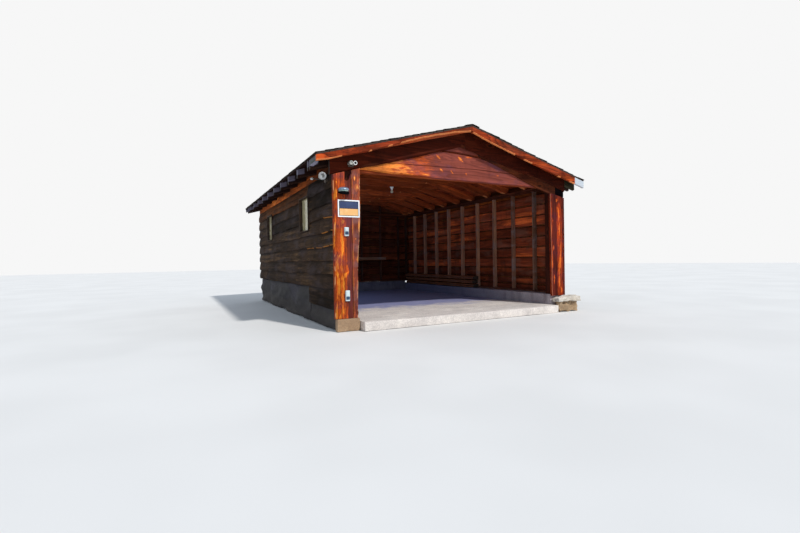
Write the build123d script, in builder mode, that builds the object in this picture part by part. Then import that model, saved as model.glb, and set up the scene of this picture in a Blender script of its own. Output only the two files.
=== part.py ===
from build123d import *
from math import ceil
import os

os.makedirs("parts", exist_ok=True)

# Axes and origin
# Y runs from the open gable front to the closed rear, X across the building, Z up.
# Origin: middle of the bounding box in plan, ground level at the bottom of the slab and kerbs.

# Plan sizes
wall_width = 4560
wall_length = 6100
eave = 300
front_overhang = 215
rear_overhang = 290
half = wall_width / 2
roof_half = half + eave
front = -(wall_length + rear_overhang - front_overhang) / 2
rear = front + wall_length
roof_front = front - front_overhang
roof_rear = rear + rear_overhang

# Roof build-up, thicknesses measured vertically
roof_rise = 700
pitch = roof_rise / roof_half
shingle_v = 22
deck_v = 21
rafter_v = 146
edge_inset = 10
rafter_width = 50
rafter_spacing = 600
rafter_start = 240
seat_cut = 30
tail_inset = 22
tail_end = roof_half - tail_inset
tie_width = 38
tie_height = 140
tie_half = 1290
ridge_half = 20
ridge_drop = 20

# Walls
stud_width = 38
stud_depth = 89
stud_spacing = 610
stud_start = 20
siding_t = 72
siding_thin = 40
lap_set_back = 10
lap_round = 18
lap_lean = 3
course = 210
lower_course = 140
plank_t = 50
sill_t = 38
plate_t = 76
plate_top = 2412
wall_in = half - siding_t - stud_depth
stud_out = half - siding_t
frieze_drop = 122
frieze_bottom = plate_top - frieze_drop
frieze_t = 42
peak = plate_top + pitch * stud_out - seat_cut + rafter_v + deck_v + shingle_v

# Concrete
slab_top = 140
slab_apron = 150
kerb_top = 330
kerb_rear_top = 390
left_top = 610
step_length = 1350
kerb_inset = 30
kerb_width = 303
kerb_width_left = 356
kerb_out = half - kerb_inset
kerb_in = kerb_out - kerb_width
kerb_in_left = kerb_out - kerb_width_left
rear_kerb_in = rear - kerb_inset - kerb_width
block_top = 190

# Front frame
jamb_width = 248
jamb_in = stud_out - jamb_width
jamb_depth = 129
infill_drop = 112
infill_bottom = plate_top - infill_drop
infill_t = 40
header_t = 89
header_height = 145
verge_depth = 277
verge_depth_middle = 299
verge_depth_end = 356
verge_end_left = half + 40
verge_end_right = half + 12
post_outer_width = 278
post_inner_width = 144
post_inner_foot = 79
post_seam = -half + post_outer_width
post_in_top = post_seam + post_inner_width
post_in_bottom = post_seam + post_inner_foot
notch_from_seam = 56
notch_width = 88
notch_depth = 166
right_post_width = 332
right_post_foot = 300
rake_t = 40
fly_t = 50
fly_depth = 71
eave_block_depth = 96
eave_block_width = 43
eave_block_in = tail_end - eave_block_width

# Windows, each in one stud bay of the left wall
window_drop = 292
window_height = 600
window_top = plate_top - window_drop
window_bottom = window_top - window_height
window_frame = 24
window_proud = 8
glass_inset = 46
glass_t = 6

# Things fixed to the inside
shelf_left = 1300
shelf_right = 1275
shelf_top = 1115
shelf_depth = 180
shelf_t = 30
rail_t = 38
rail_height = 90
ledge_start = 2420
ledge_layer = 93
ledge_layers = 3
ledge_set_back = 15
ledge_step = 40
ledge_rear_gap = 60

# Lamps, sign and covers, with their places measured from the posts and boards that carry them
flood_from_front = 268
flood_z = frieze_bottom - 55
flood_arm = 16
flood_out = half + 80
flood_radius = 58
flood_drop = 42
sensor_out = half + 218
sensor_radius = 17
twin_from_corner = 270
twin_above_edge = 81
twin_plate = 84
twin_radius = 25
hood_from_corner = 155
hood_foot = infill_bottom - 334
hood_height = 80
bowl_height = 18
sign_from_corner = 68
sign_width = 328
sign_height = 246
sign_bottom = hood_foot - 335
sign_rim = 12
cover_from_corner = 154
cover_width = 66
cover_depth = 34
upper_cover = sign_bottom - 271
upper_cover_height = 127
lower_cover = block_top + 247
lower_cover_height = 153
socket_radius = 42
bulb_radius = 31

# Natural lower edges: shares of a board's length, each with the edge's depth below the roof boards there
left_verge_marks = [(0, verge_depth_middle), (0.035, 259), (0.19, 271), (0.48, 285)]
right_verge_marks = [(0, verge_depth_middle), (0.18, 324), (0.42, 350), (0.7, 407), (0.84, 412), (1, 361)]
left_rake_marks = [
    (0, 87), (0.13, 47), (0.24, 45), (0.35, 41), (0.54, 67), (0.75, 96), (0.87, 93), (0.93, 98), (1, 80)
]
right_rake_marks = [(0, 87), (0.095, 108), (0.215, 116), (0.385, 122), (0.66, 128), (0.905, 124), (1, 123)]

# The lower edge of the gable infill: shares of half its width and heights above the header's underside
infill_marks = [(-1, 45), (-0.79, 36), (-0.46, 16), (-0.22, 2), (0, 0), (1, 0)]


def under_shingles(x):
    """Height of the underside of the shingles at distance x from the ridge line."""
    return peak - shingle_v - pitch * abs(x)


def under_deck(x):
    """Height of the underside of the roof boards, which is the top of the rafters."""
    return under_shingles(x) - deck_v


def under_rafter(x):
    """Height of the underside of the rafters."""
    return under_deck(x) - rafter_v


def verge_edge(x):
    """Height of the lower edge of the left verge board in the plane of the front wall."""
    return under_deck(x) - verge_depth


def natural_edge(length, marks, side):
    """Points of a board's lower edge between the ridge line and the given length."""
    return [(side * length * share, under_deck(length * share) - depth) for share, depth in marks]


def course_bottoms(low, high, height):
    """Lower edges of the wall boards between two heights, in equal courses close to the given height."""
    count = max(1, round((high - low) / height))
    return [low + (high - low) / count * k for k in range(count)]


def bay_start(bay):
    """Front end of the free space behind the given stud, measured along Y."""
    return front + stud_start + stud_spacing * bay + stud_width


bay_clear = stud_spacing - stud_width
wall_start = front + plank_t + jamb_depth
boards_start = front + plank_t
boards_length = wall_length - plank_t
stud_back = rear - siding_t
gable_rafter_front = wall_start - rafter_width
gable_rafter_rear = stud_back - rafter_width
rafter_room = gable_rafter_rear - rafter_width - tie_width - front - rafter_start
rafter_count = int(rafter_room / rafter_spacing) + 1
rafter_ys = [front + rafter_start + rafter_spacing * k for k in range(rafter_count)]
stud_room = wall_length - siding_t - stud_depth - stud_start - stud_width
stud_count = int(stud_room / stud_spacing)
stud_ys = [front + stud_start + stud_spacing * k for k in range(1, stud_count + 1)]
window_bays = [bay_start(2), bay_start(stud_count - 2)]
tie_bottom = under_rafter(tie_half)
left_upper = course_bottoms(left_top, frieze_bottom, course)
lower_bottoms = course_bottoms(kerb_top, left_top, lower_course)


def box_between(x0, x1, y0, y1, z0, z1, mode=Mode.ADD):
    """Square-edged timber or block given by its two opposite corners."""
    with Locations(((x0 + x1) / 2, (y0 + y1) / 2, (z0 + z1) / 2)):
        Box(abs(x1 - x0), abs(y1 - y0), abs(z1 - z0), mode=mode)


def board_from_front(points, y0, thickness, mode=Mode.ADD):
    """Flat board with the outline points in X and Z, from y0 towards the rear."""
    with BuildSketch(Plane.XZ.offset(-y0 - thickness)) as outline:
        with BuildLine():
            Polyline(*points, close=True)
        make_face()
    extrude(outline.sketch, amount=thickness, mode=mode)


# Floor slab with its short apron before the opening
with BuildPart() as floor_slab:
    box_between(-kerb_in_left, kerb_in, front - slab_apron, rear_kerb_in, 0, slab_top)
    chamfer(floor_slab.edges().filter_by(Axis.X).group_by(Axis.Z)[-1].sort_by(Axis.Y)[0], 12)

# Left foundation, stepped down to kerb height near the front, with the block under the corner post
with BuildPart() as kerb_left:
    box_between(-kerb_out, -kerb_in_left, front + plank_t, front + step_length, 0, kerb_top)
    box_between(-kerb_out, -kerb_in_left, front + step_length, rear, 0, left_top)
    box_between(
        -stud_out, -kerb_in_left, rear - siding_t, rear, kerb_rear_top, left_top, mode=Mode.SUBTRACT
    )
    box_between(-kerb_out, -kerb_in_left, front, front + plank_t, 0, block_top)

# Right kerb
with BuildPart() as kerb_right:
    box_between(kerb_in, kerb_out, front + plank_t, rear, 0, kerb_top)

# Rear kerb between the two long ones
with BuildPart() as kerb_rear:
    box_between(-kerb_in_left, kerb_in, rear_kerb_in, rear - kerb_inset, 0, kerb_rear_top)

# Rough stone under the right corner post
with BuildPart() as footing_stone:
    with BuildSketch(Plane.XY) as stone_plan:
        with BuildLine():
            Polyline(
                (kerb_in + 8, front - 60),
                (kerb_in + 160, front - 175),
                (kerb_in + 420, front - 190),
                (kerb_in + 590, front - 105),
                (kerb_in + 615, front + 10),
                (kerb_in + 560, front + plank_t),
                (kerb_in + 8, front + plank_t),
                close=True,
            )
        make_face()
    extrude(amount=right_post_foot)
    chamfer(footing_stone.edges().group_by(Axis.Z)[-1].sort_by(Axis.Y)[0:4], 28)

# Sill plates on the concrete
with BuildPart() as sill_plates:
    rear_sill_top = kerb_rear_top + sill_t
    box_between(-stud_out, -wall_in, wall_start, front + step_length, kerb_top, kerb_top + sill_t)
    box_between(-stud_out, -wall_in, front + step_length, stud_back, left_top, left_top + sill_t)
    box_between(wall_in, stud_out, wall_start, stud_back, kerb_top, kerb_top + sill_t)
    box_between(-kerb_in_left, wall_in, stud_back - stud_depth, stud_back, kerb_rear_top, rear_sill_top)

# Studs of the left wall, shorter where the foundation is high, with sill and head pieces at the windows
with BuildPart() as studs_left:
    for y in stud_ys:
        if y + stud_width < front + step_length:
            box_between(-stud_out, -wall_in, y, y + stud_width, kerb_top + sill_t, plate_top - plate_t)
        else:
            box_between(-stud_out, -wall_in, y, y + stud_width, left_top + sill_t, plate_top - plate_t)
    for y in window_bays:
        box_between(-stud_out, -wall_in, y, y + bay_clear, window_bottom - stud_width, window_bottom)
        box_between(-stud_out, -wall_in, y, y + bay_clear, window_top, window_top + stud_width)

# Studs of the right wall
with BuildPart() as studs_right:
    for y in stud_ys:
        box_between(wall_in, stud_out, y, y + stud_width, kerb_top + sill_t, plate_top - plate_t)

# Studs of the rear wall and its gable
with BuildPart() as studs_rear:
    edge = stud_width / 2
    side_count = int((wall_in - stud_width - edge) / stud_spacing)
    corner_feet = {1: kerb_rear_top + sill_t, -1: left_top}
    for k in range(-side_count, side_count + 1):
        x = stud_spacing * k
        box_between(
            x - edge, x + edge, stud_back - stud_depth, stud_back, kerb_rear_top + sill_t, plate_top - plate_t
        )
        if 0 < abs(k) < side_count:
            box_between(
                x - edge,
                x + edge,
                stud_back - stud_depth,
                stud_back - rafter_width,
                plate_top,
                under_deck(abs(x) + edge),
            )
    for side, foot in corner_feet.items():
        box_between(
            side * (wall_in - stud_width),
            side * wall_in,
            stud_back - stud_depth,
            stud_back,
            foot,
            plate_top - plate_t,
        )

# Doubled top plates round the three closed walls
with BuildPart() as top_plates:
    box_between(-stud_out, -wall_in, wall_start, stud_back, plate_top - plate_t, plate_top)
    box_between(wall_in, stud_out, wall_start, stud_back, plate_top - plate_t, plate_top)
    box_between(-wall_in, wall_in, stud_back - stud_depth, stud_back, plate_top - plate_t, plate_top)


def lap_points(bottoms, top):
    """Outer outline of lapped slab boards as distances from the studs and heights.
    Each course is thin at its top and full thickness at its foot."""
    points = []
    edges = bottoms + [top]
    for low, high in zip(edges[:-1], edges[1:]):
        points.append((siding_t - lap_set_back, low))
        points.append((siding_t, low + lap_round))
        points.append((siding_t - lap_lean, low + (high - low) * 0.45))
        points.append((siding_thin, high))
    return points


def side_wall_outline(side, bottoms, top):
    """Closed outline of a long wall's boards in X and Z."""
    outer = [(side * (stud_out + out), z) for out, z in lap_points(bottoms, top)]
    return [(side * stud_out, bottoms[0])] + outer + [(side * stud_out, top)]


# Left wall boards with the two window holes, lower near the front where the foundation steps down
with BuildPart() as siding_left:
    board_from_front(side_wall_outline(-1, left_upper, frieze_bottom), boards_start, boards_length)
    board_from_front(side_wall_outline(-1, lower_bottoms, left_top), boards_start, step_length - plank_t)
    for y in window_bays:
        box_between(
            -half - window_proud,
            -stud_out,
            y,
            y + bay_clear,
            window_bottom,
            window_top,
            mode=Mode.SUBTRACT,
        )

# Right wall boards
with BuildPart() as siding_right:
    right_bottoms = lower_bottoms + left_upper
    board_from_front(side_wall_outline(1, right_bottoms, frieze_bottom), boards_start, boards_length)

# Rear wall boards up into the gable, cut to the slope of the roof
with BuildPart() as siding_rear:
    rear_count = ceil((under_deck(0) - kerb_rear_top) / course)
    rear_bottoms = [kerb_rear_top + course * k for k in range(rear_count)]
    rear_top = kerb_rear_top + course * rear_count
    with BuildSketch(Plane.YZ.offset(-stud_out)):
        with BuildLine():
            Polyline(
                (stud_back, kerb_rear_top),
                *[(stud_back + out, z) for out, z in lap_points(rear_bottoms, rear_top)],
                (stud_back, rear_top),
                close=True,
            )
        make_face()
    extrude(amount=2 * stud_out)
    board_from_front(
        [
            (-stud_out, kerb_rear_top),
            (stud_out, kerb_rear_top),
            (stud_out, under_deck(stud_out)),
            (0, under_deck(0)),
            (-stud_out, under_deck(stud_out)),
        ],
        stud_back - siding_t,
        3 * siding_t,
        mode=Mode.INTERSECT,
    )

# Framing posts behind the corner planks
with BuildPart() as jamb_posts:
    for side in (-1, 1):
        box_between(side * jamb_in, side * stud_out, front + plank_t, wall_start, kerb_top, infill_bottom)

# Outer plank of the left corner with the notch in its top
with BuildPart() as post_left_outer:
    board_from_front(
        [
            (-half, block_top),
            (post_seam, block_top),
            (post_seam, verge_edge(post_seam)),
            (-half, verge_edge(-half)),
        ],
        front,
        plank_t,
    )
    with BuildSketch(Plane.XZ.offset(-front - plank_t)):
        notch_x = post_seam - notch_from_seam
        with Locations((notch_x, verge_edge(notch_x))):
            SlotOverall(2 * notch_depth, notch_width, rotation=90)
    extrude(amount=plank_t, mode=Mode.SUBTRACT)

# Inner plank of the left corner, narrowing towards its foot
with BuildPart() as post_left_inner:
    post_height = verge_edge(post_in_top) - block_top
    board_from_front(
        [
            (post_seam, block_top),
            (post_in_bottom, block_top),
            (post_in_bottom + 8, block_top + 0.33 * post_height),
            (post_in_top - 8, block_top + 0.7 * post_height),
            (post_in_top, verge_edge(post_in_top)),
            (post_seam, verge_edge(post_seam)),
        ],
        front,
        plank_t,
    )

# Lower edge of the right verge board, a natural edge that drops faster than the roof
right_edge = natural_edge(half, right_verge_marks, 1)

# Right corner plank
with BuildPart() as post_right:
    board_from_front(
        [(half - right_post_width, right_post_foot), (half, right_post_foot), right_edge[-1], right_edge[-2]],
        front,
        plank_t,
    )

# Verge boards in the plane of the front wall
with BuildPart() as verge_board_left:
    board_from_front(
        natural_edge(half, left_verge_marks, -1)
        + [
            (post_in_top, verge_edge(post_in_top)),
            (-verge_end_left, verge_edge(verge_end_left)),
            (-verge_end_left, under_deck(verge_end_left)),
            (0, under_deck(0)),
        ],
        front,
        plank_t,
    )

with BuildPart() as verge_board_right:
    board_from_front(
        right_edge
        + [
            (verge_end_right, under_deck(verge_end_right) - verge_depth_end),
            (verge_end_right, under_deck(verge_end_right)),
            (0, under_deck(0)),
        ],
        front,
        plank_t,
    )

# Set-back gable infill over the opening
with BuildPart() as gable_infill:
    board_from_front(
        [(stud_out * share, infill_bottom + rise) for share, rise in infill_marks]
        + [
            (stud_out, under_deck(stud_out)),
            (0, under_deck(0)),
            (-stud_out, under_deck(stud_out)),
        ],
        front + plank_t,
        infill_t,
    )

# Header beam over the opening, bevelled under the first pair of rafters
with BuildPart() as header_beam:
    header_top = infill_bottom + header_height
    bevel_x = (under_rafter(0) - header_top) / pitch
    board_from_front(
        [
            (-stud_out, infill_bottom),
            (stud_out, infill_bottom),
            (stud_out, under_rafter(stud_out)),
            (bevel_x, header_top),
            (-bevel_x, header_top),
            (-stud_out, under_rafter(stud_out)),
        ],
        front + plank_t + infill_t,
        header_t,
    )

# Rake boards with natural lower edges
rake_length = roof_half - edge_inset
rake_top = [(rake_length, under_deck(rake_length)), (0, under_deck(0))]

with BuildPart() as rake_board_left:
    board_from_front(
        natural_edge(rake_length, left_rake_marks, -1) + [(-x, z) for x, z in rake_top],
        roof_front + edge_inset,
        rake_t,
    )

with BuildPart() as rake_board_right:
    board_from_front(
        natural_edge(rake_length, right_rake_marks, 1) + rake_top, roof_front + edge_inset, rake_t
    )

# Fly rafters under the overhanging roof edges, front and rear, with a short block at the left front eave
# corner and a plank tail beyond the right verge board
with BuildPart() as fly_rafters:
    for y in (roof_front + edge_inset + rake_t, roof_rear - edge_inset - fly_t):
        for side in (-1, 1):
            board_from_front(
                [
                    (0, under_deck(0)),
                    (side * tail_end, under_deck(tail_end)),
                    (side * tail_end, under_deck(tail_end) - fly_depth),
                    (0, under_deck(0) - fly_depth),
                ],
                y,
                fly_t,
            )
    block_start = roof_front + edge_inset + rake_t + fly_t
    board_from_front(
        [
            (-tail_end, under_deck(tail_end)),
            (-tail_end, under_deck(tail_end) - eave_block_depth),
            (-eave_block_in, under_deck(tail_end) - eave_block_depth),
            (-eave_block_in, under_deck(eave_block_in)),
        ],
        block_start,
        gable_rafter_front - block_start,
    )
    board_from_front(
        [
            (verge_end_right, under_deck(verge_end_right)),
            (tail_end, under_deck(tail_end)),
            (tail_end, under_rafter(tail_end)),
            (verge_end_right, under_rafter(verge_end_right)),
        ],
        front,
        plank_t,
    )

# Ridge board between the rafter pairs
with BuildPart() as ridge_board:
    box_between(
        -ridge_half,
        ridge_half,
        front + plank_t + infill_t,
        rear - siding_t,
        under_rafter(0) - ridge_drop,
        under_deck(ridge_half),
    )


def rafter_outline(side, notched):
    """Rafter from the ridge board to its tail, with the seat cut over the wall plate where notched."""
    points = [
        (side * ridge_half, under_deck(ridge_half)),
        (side * tail_end, under_deck(tail_end)),
        (side * tail_end, under_rafter(tail_end)),
    ]
    if notched:
        seat_end = (under_rafter(0) - plate_top) / pitch
        points.append((side * stud_out, under_rafter(stud_out)))
        points.append((side * stud_out, plate_top))
        points.append((side * seat_end, plate_top))
    points.append((side * ridge_half, under_rafter(ridge_half)))
    return points


# Left rafters with their exposed tails
with BuildPart() as rafters_left:
    for y in rafter_ys:
        board_from_front(rafter_outline(-1, True), y, rafter_width)
    board_from_front(rafter_outline(-1, False), gable_rafter_front, rafter_width)
    board_from_front(rafter_outline(-1, True), gable_rafter_rear, rafter_width)

# Right rafters
with BuildPart() as rafters_right:
    for y in rafter_ys:
        board_from_front(rafter_outline(1, True), y, rafter_width)
    board_from_front(rafter_outline(1, False), gable_rafter_front, rafter_width)
    board_from_front(rafter_outline(1, True), gable_rafter_rear, rafter_width)

# Collar ties nailed to the rear side of each rafter pair
with BuildPart() as collar_ties:
    for y in rafter_ys:
        tie_y = y + rafter_width
        box_between(-tie_half, tie_half, tie_y, tie_y + tie_width, tie_bottom, tie_bottom + tie_height)

# Frieze boards that close the eaves between the rafters
with BuildPart() as frieze_left:
    board_from_front(
        [
            (-stud_out, frieze_bottom),
            (-stud_out - frieze_t, frieze_bottom),
            (-stud_out - frieze_t, under_deck(stud_out + frieze_t)),
            (-stud_out, under_deck(stud_out)),
        ],
        boards_start,
        boards_length,
    )
    add(rafters_left.part, mode=Mode.SUBTRACT)

with BuildPart() as frieze_right:
    board_from_front(
        [
            (stud_out, frieze_bottom),
            (stud_out + frieze_t, frieze_bottom),
            (stud_out + frieze_t, under_deck(stud_out + frieze_t)),
            (stud_out, under_deck(stud_out)),
        ],
        boards_start,
        boards_length,
    )
    add(rafters_right.part, mode=Mode.SUBTRACT)


def roof_layer(side, reach, top, thickness, y0, y1):
    """One sloping layer of the roof from the ridge to the eave, top gives its height at the ridge."""
    board_from_front(
        [
            (0, top),
            (side * reach, top - pitch * reach),
            (side * reach, top - pitch * reach - thickness),
            (0, top - thickness),
        ],
        y0,
        y1 - y0,
    )


deck_top = peak - shingle_v

with BuildPart() as roof_deck_left:
    roof_layer(-1, roof_half - edge_inset, deck_top, deck_v, roof_front + edge_inset, roof_rear - edge_inset)

with BuildPart() as roof_deck_right:
    roof_layer(1, roof_half - edge_inset, deck_top, deck_v, roof_front + edge_inset, roof_rear - edge_inset)

with BuildPart() as shingles_left:
    roof_layer(-1, roof_half, peak, shingle_v, roof_front, roof_rear)

with BuildPart() as shingles_right:
    roof_layer(1, roof_half, peak, shingle_v, roof_front, roof_rear)


def window_casing(y):
    """Square box frame through the whole wall thickness with an open middle."""
    box_between(
        -half - window_proud, -wall_in, y, y + bay_clear, window_bottom, window_top
    )
    box_between(
        -half - window_proud,
        -wall_in,
        y + window_frame,
        y + bay_clear - window_frame,
        window_bottom + window_frame,
        window_top - window_frame,
        mode=Mode.SUBTRACT,
    )


def window_pane(y):
    """Single pane set back from the face of the boards."""
    face = -half + glass_inset
    box_between(
        face,
        face + glass_t,
        y + window_frame,
        y + bay_clear - window_frame,
        window_bottom + window_frame,
        window_top - window_frame,
    )


with BuildPart() as window_frame_front:
    window_casing(window_bays[0])

with BuildPart() as window_frame_rear:
    window_casing(window_bays[1])

with BuildPart() as window_glass_front:
    window_pane(window_bays[0])

with BuildPart() as window_glass_rear:
    window_pane(window_bays[1])

# Shelf with a front rail on the rear wall
with BuildPart() as rear_shelf:
    shelf_back = stud_back - stud_depth
    rail_back = shelf_back - shelf_depth
    box_between(-shelf_left, shelf_right, rail_back, shelf_back, shelf_top - shelf_t, shelf_top)
    box_between(-shelf_left, shelf_right, rail_back - rail_t, rail_back, shelf_top - rail_height, shelf_top)

# Stacked timbers lying on the right kerb against the studs
with BuildPart() as wall_ledge:
    for k in range(ledge_layers):
        foot = kerb_top + ledge_layer * k
        ledge_end = rear_kerb_in - ledge_rear_gap + ledge_step * k
        ledge_x = kerb_in + ledge_set_back
        box_between(ledge_x, wall_in, front + ledge_start, ledge_end, foot, foot + ledge_layer)

# Reflector lamp beside the top of the left wall, on a level arm that ends in a small sensor
with BuildPart() as floodlight:
    arm = flood_arm / 2
    arm_y = front + flood_from_front
    arm_z = flood_z - flood_drop
    with Locations(Location((-half + 6, arm_y, arm_z), (0, 90, 0))):
        Cylinder(0.75 * flood_radius, 68)
    box_between(-sensor_out, -half - 14, arm_y - arm, arm_y + arm, arm_z - arm, arm_z + arm)
    with Locations(Location((-flood_out, arm_y, flood_z), (-90, 0, 0))):
        Cone(flood_radius - 2, flood_radius / 2, 100)
    with Locations(Location((-flood_out, arm_y - 55, flood_z), (90, 0, 0))):
        Cylinder(flood_radius, 14)
    with Locations(Location((-sensor_out, arm_y, arm_z), (90, 0, 0))):
        Cylinder(sensor_radius, 44)
    add(siding_left.part, mode=Mode.SUBTRACT)

# Pair of small lamps on the left verge board
with BuildPart() as twin_light:
    twin_x = -half + twin_from_corner
    twin_z = verge_edge(twin_x) + twin_above_edge
    plate = twin_plate / 2
    box_between(twin_x - plate, twin_x + plate, front - 22, front, twin_z - plate, twin_z + plate)
    for offset in (-28, 31):
        with Locations(Location((twin_x + offset, front - 62, twin_z), (90, 0, 0))):
            Cylinder(twin_radius, 82)
        with Locations(Location((twin_x + offset, front - 108, twin_z), (90, 0, 0))):
            Cylinder(twin_radius + 4, 14)


def half_ellipse(x, z, side_radius, front_radius):
    """Level half ellipse that stands out to the front from the face of the corner planks."""
    with BuildSketch(Plane.XY.offset(z)) as outline:
        with Locations((x, front)):
            Ellipse(side_radius, front_radius)
        with Locations((x, front + front_radius)):
            Rectangle(3 * side_radius, 2 * front_radius, mode=Mode.SUBTRACT)
    return outline.sketch


# Half-round lamp on the left corner planks, a short hood over a shallow bowl
with BuildPart() as bulkhead_lamp:
    hood_x = -half + hood_from_corner
    extrude(half_ellipse(hood_x, hood_foot, 84, 92), amount=hood_height, taper=12)
    extrude(half_ellipse(hood_x, hood_foot - bowl_height, 70, 76), amount=bowl_height)

# Flat rectangular sign plate with a raised rim
with BuildPart() as sign_plate:
    sign_x = -half + sign_from_corner
    sign_end = sign_x + sign_width
    sign_top = sign_bottom + sign_height
    box_between(sign_x, sign_end, front - 5, front, sign_bottom, sign_top)
    box_between(
        sign_x + sign_rim,
        sign_end - sign_rim,
        front - 5,
        front - 3,
        sign_bottom + sign_rim,
        sign_top - sign_rim,
        mode=Mode.SUBTRACT,
    )

# Two weather covers of the power points
with BuildPart() as outlet_covers:
    cover_x = -half + cover_from_corner
    for foot, height in ((upper_cover, upper_cover_height), (lower_cover, lower_cover_height)):
        box_between(cover_x, cover_x + cover_width, front - cover_depth, front, foot, foot + height)
    fillet(outlet_covers.edges().filter_by(Axis.Y), 8)

# Lamp holder with a bulb under the middle collar tie, turned from one profile
with BuildPart() as ceiling_lamp:
    lamp_y = rafter_ys[rafter_count // 2 - 1] + rafter_width + tie_width / 2
    with BuildSketch(Plane.XZ.offset(-lamp_y)):
        with BuildLine():
            Polyline(
                (0, tie_bottom),
                (socket_radius, tie_bottom),
                (socket_radius, tie_bottom - 22),
                (socket_radius - 20, tie_bottom - 40),
                (socket_radius - 20, tie_bottom - 76),
                (bulb_radius, tie_bottom - 104),
                (bulb_radius - 11, tie_bottom - 130),
                (0, tie_bottom - 139),
                close=True,
            )
        make_face()
    revolve(axis=Axis((0, lamp_y, 0), (0, 0, 1)))

# Named nodes
floor_slab.part.label = "floor_slab"
kerb_left.part.label = "kerb_left"
kerb_right.part.label = "kerb_right"
kerb_rear.part.label = "kerb_rear"
footing_stone.part.label = "footing_stone"
sill_plates.part.label = "sill_plates"
studs_left.part.label = "studs_left"
studs_right.part.label = "studs_right"
studs_rear.part.label = "studs_rear"
top_plates.part.label = "top_plates"
siding_left.part.label = "siding_left"
siding_right.part.label = "siding_right"
siding_rear.part.label = "siding_rear"
jamb_posts.part.label = "jamb_posts"
post_left_outer.part.label = "post_left_outer"
post_left_inner.part.label = "post_left_inner"
post_right.part.label = "post_right"
verge_board_left.part.label = "verge_board_left"
verge_board_right.part.label = "verge_board_right"
gable_infill.part.label = "gable_infill"
header_beam.part.label = "header_beam"
rake_board_left.part.label = "rake_board_left"
rake_board_right.part.label = "rake_board_right"
fly_rafters.part.label = "fly_rafters"
ridge_board.part.label = "ridge_board"
rafters_left.part.label = "rafters_left"
rafters_right.part.label = "rafters_right"
collar_ties.part.label = "collar_ties"
frieze_left.part.label = "frieze_left"
frieze_right.part.label = "frieze_right"
roof_deck_left.part.label = "roof_deck_left"
roof_deck_right.part.label = "roof_deck_right"
shingles_left.part.label = "shingles_left"
shingles_right.part.label = "shingles_right"
window_frame_front.part.label = "window_frame_front"
window_frame_rear.part.label = "window_frame_rear"
window_glass_front.part.label = "window_glass_front"
window_glass_rear.part.label = "window_glass_rear"
rear_shelf.part.label = "rear_shelf"
wall_ledge.part.label = "wall_ledge"
floodlight.part.label = "floodlight"
twin_light.part.label = "twin_light"
bulkhead_lamp.part.label = "bulkhead_lamp"
sign_plate.part.label = "sign_plate"
outlet_covers.part.label = "outlet_covers"
ceiling_lamp.part.label = "ceiling_lamp"

export_step(floor_slab.part, "parts/floor_slab.step")
export_step(kerb_left.part, "parts/kerb_left.step")
export_step(kerb_right.part, "parts/kerb_right.step")
export_step(kerb_rear.part, "parts/kerb_rear.step")
export_step(footing_stone.part, "parts/footing_stone.step")
export_step(sill_plates.part, "parts/sill_plates.step")
export_step(studs_left.part, "parts/studs_left.step")
export_step(studs_right.part, "parts/studs_right.step")
export_step(studs_rear.part, "parts/studs_rear.step")
export_step(top_plates.part, "parts/top_plates.step")
export_step(siding_left.part, "parts/siding_left.step")
export_step(siding_right.part, "parts/siding_right.step")
export_step(siding_rear.part, "parts/siding_rear.step")
export_step(jamb_posts.part, "parts/jamb_posts.step")
export_step(post_left_outer.part, "parts/post_left_outer.step")
export_step(post_left_inner.part, "parts/post_left_inner.step")
export_step(post_right.part, "parts/post_right.step")
export_step(verge_board_left.part, "parts/verge_board_left.step")
export_step(verge_board_right.part, "parts/verge_board_right.step")
export_step(gable_infill.part, "parts/gable_infill.step")
export_step(header_beam.part, "parts/header_beam.step")
export_step(rake_board_left.part, "parts/rake_board_left.step")
export_step(rake_board_right.part, "parts/rake_board_right.step")
export_step(fly_rafters.part, "parts/fly_rafters.step")
export_step(ridge_board.part, "parts/ridge_board.step")
export_step(rafters_left.part, "parts/rafters_left.step")
export_step(rafters_right.part, "parts/rafters_right.step")
export_step(collar_ties.part, "parts/collar_ties.step")
export_step(frieze_left.part, "parts/frieze_left.step")
export_step(frieze_right.part, "parts/frieze_right.step")
export_step(roof_deck_left.part, "parts/roof_deck_left.step")
export_step(roof_deck_right.part, "parts/roof_deck_right.step")
export_step(shingles_left.part, "parts/shingles_left.step")
export_step(shingles_right.part, "parts/shingles_right.step")
export_step(window_frame_front.part, "parts/window_frame_front.step")
export_step(window_frame_rear.part, "parts/window_frame_rear.step")
export_step(window_glass_front.part, "parts/window_glass_front.step")
export_step(window_glass_rear.part, "parts/window_glass_rear.step")
export_step(rear_shelf.part, "parts/rear_shelf.step")
export_step(wall_ledge.part, "parts/wall_ledge.step")
export_step(floodlight.part, "parts/floodlight.step")
export_step(twin_light.part, "parts/twin_light.step")
export_step(bulkhead_lamp.part, "parts/bulkhead_lamp.step")
export_step(sign_plate.part, "parts/sign_plate.step")
export_step(outlet_covers.part, "parts/outlet_covers.step")
export_step(ceiling_lamp.part, "parts/ceiling_lamp.step")
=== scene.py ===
import math
import bpy
import numpy as np
from mathutils import Matrix, Vector


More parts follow.
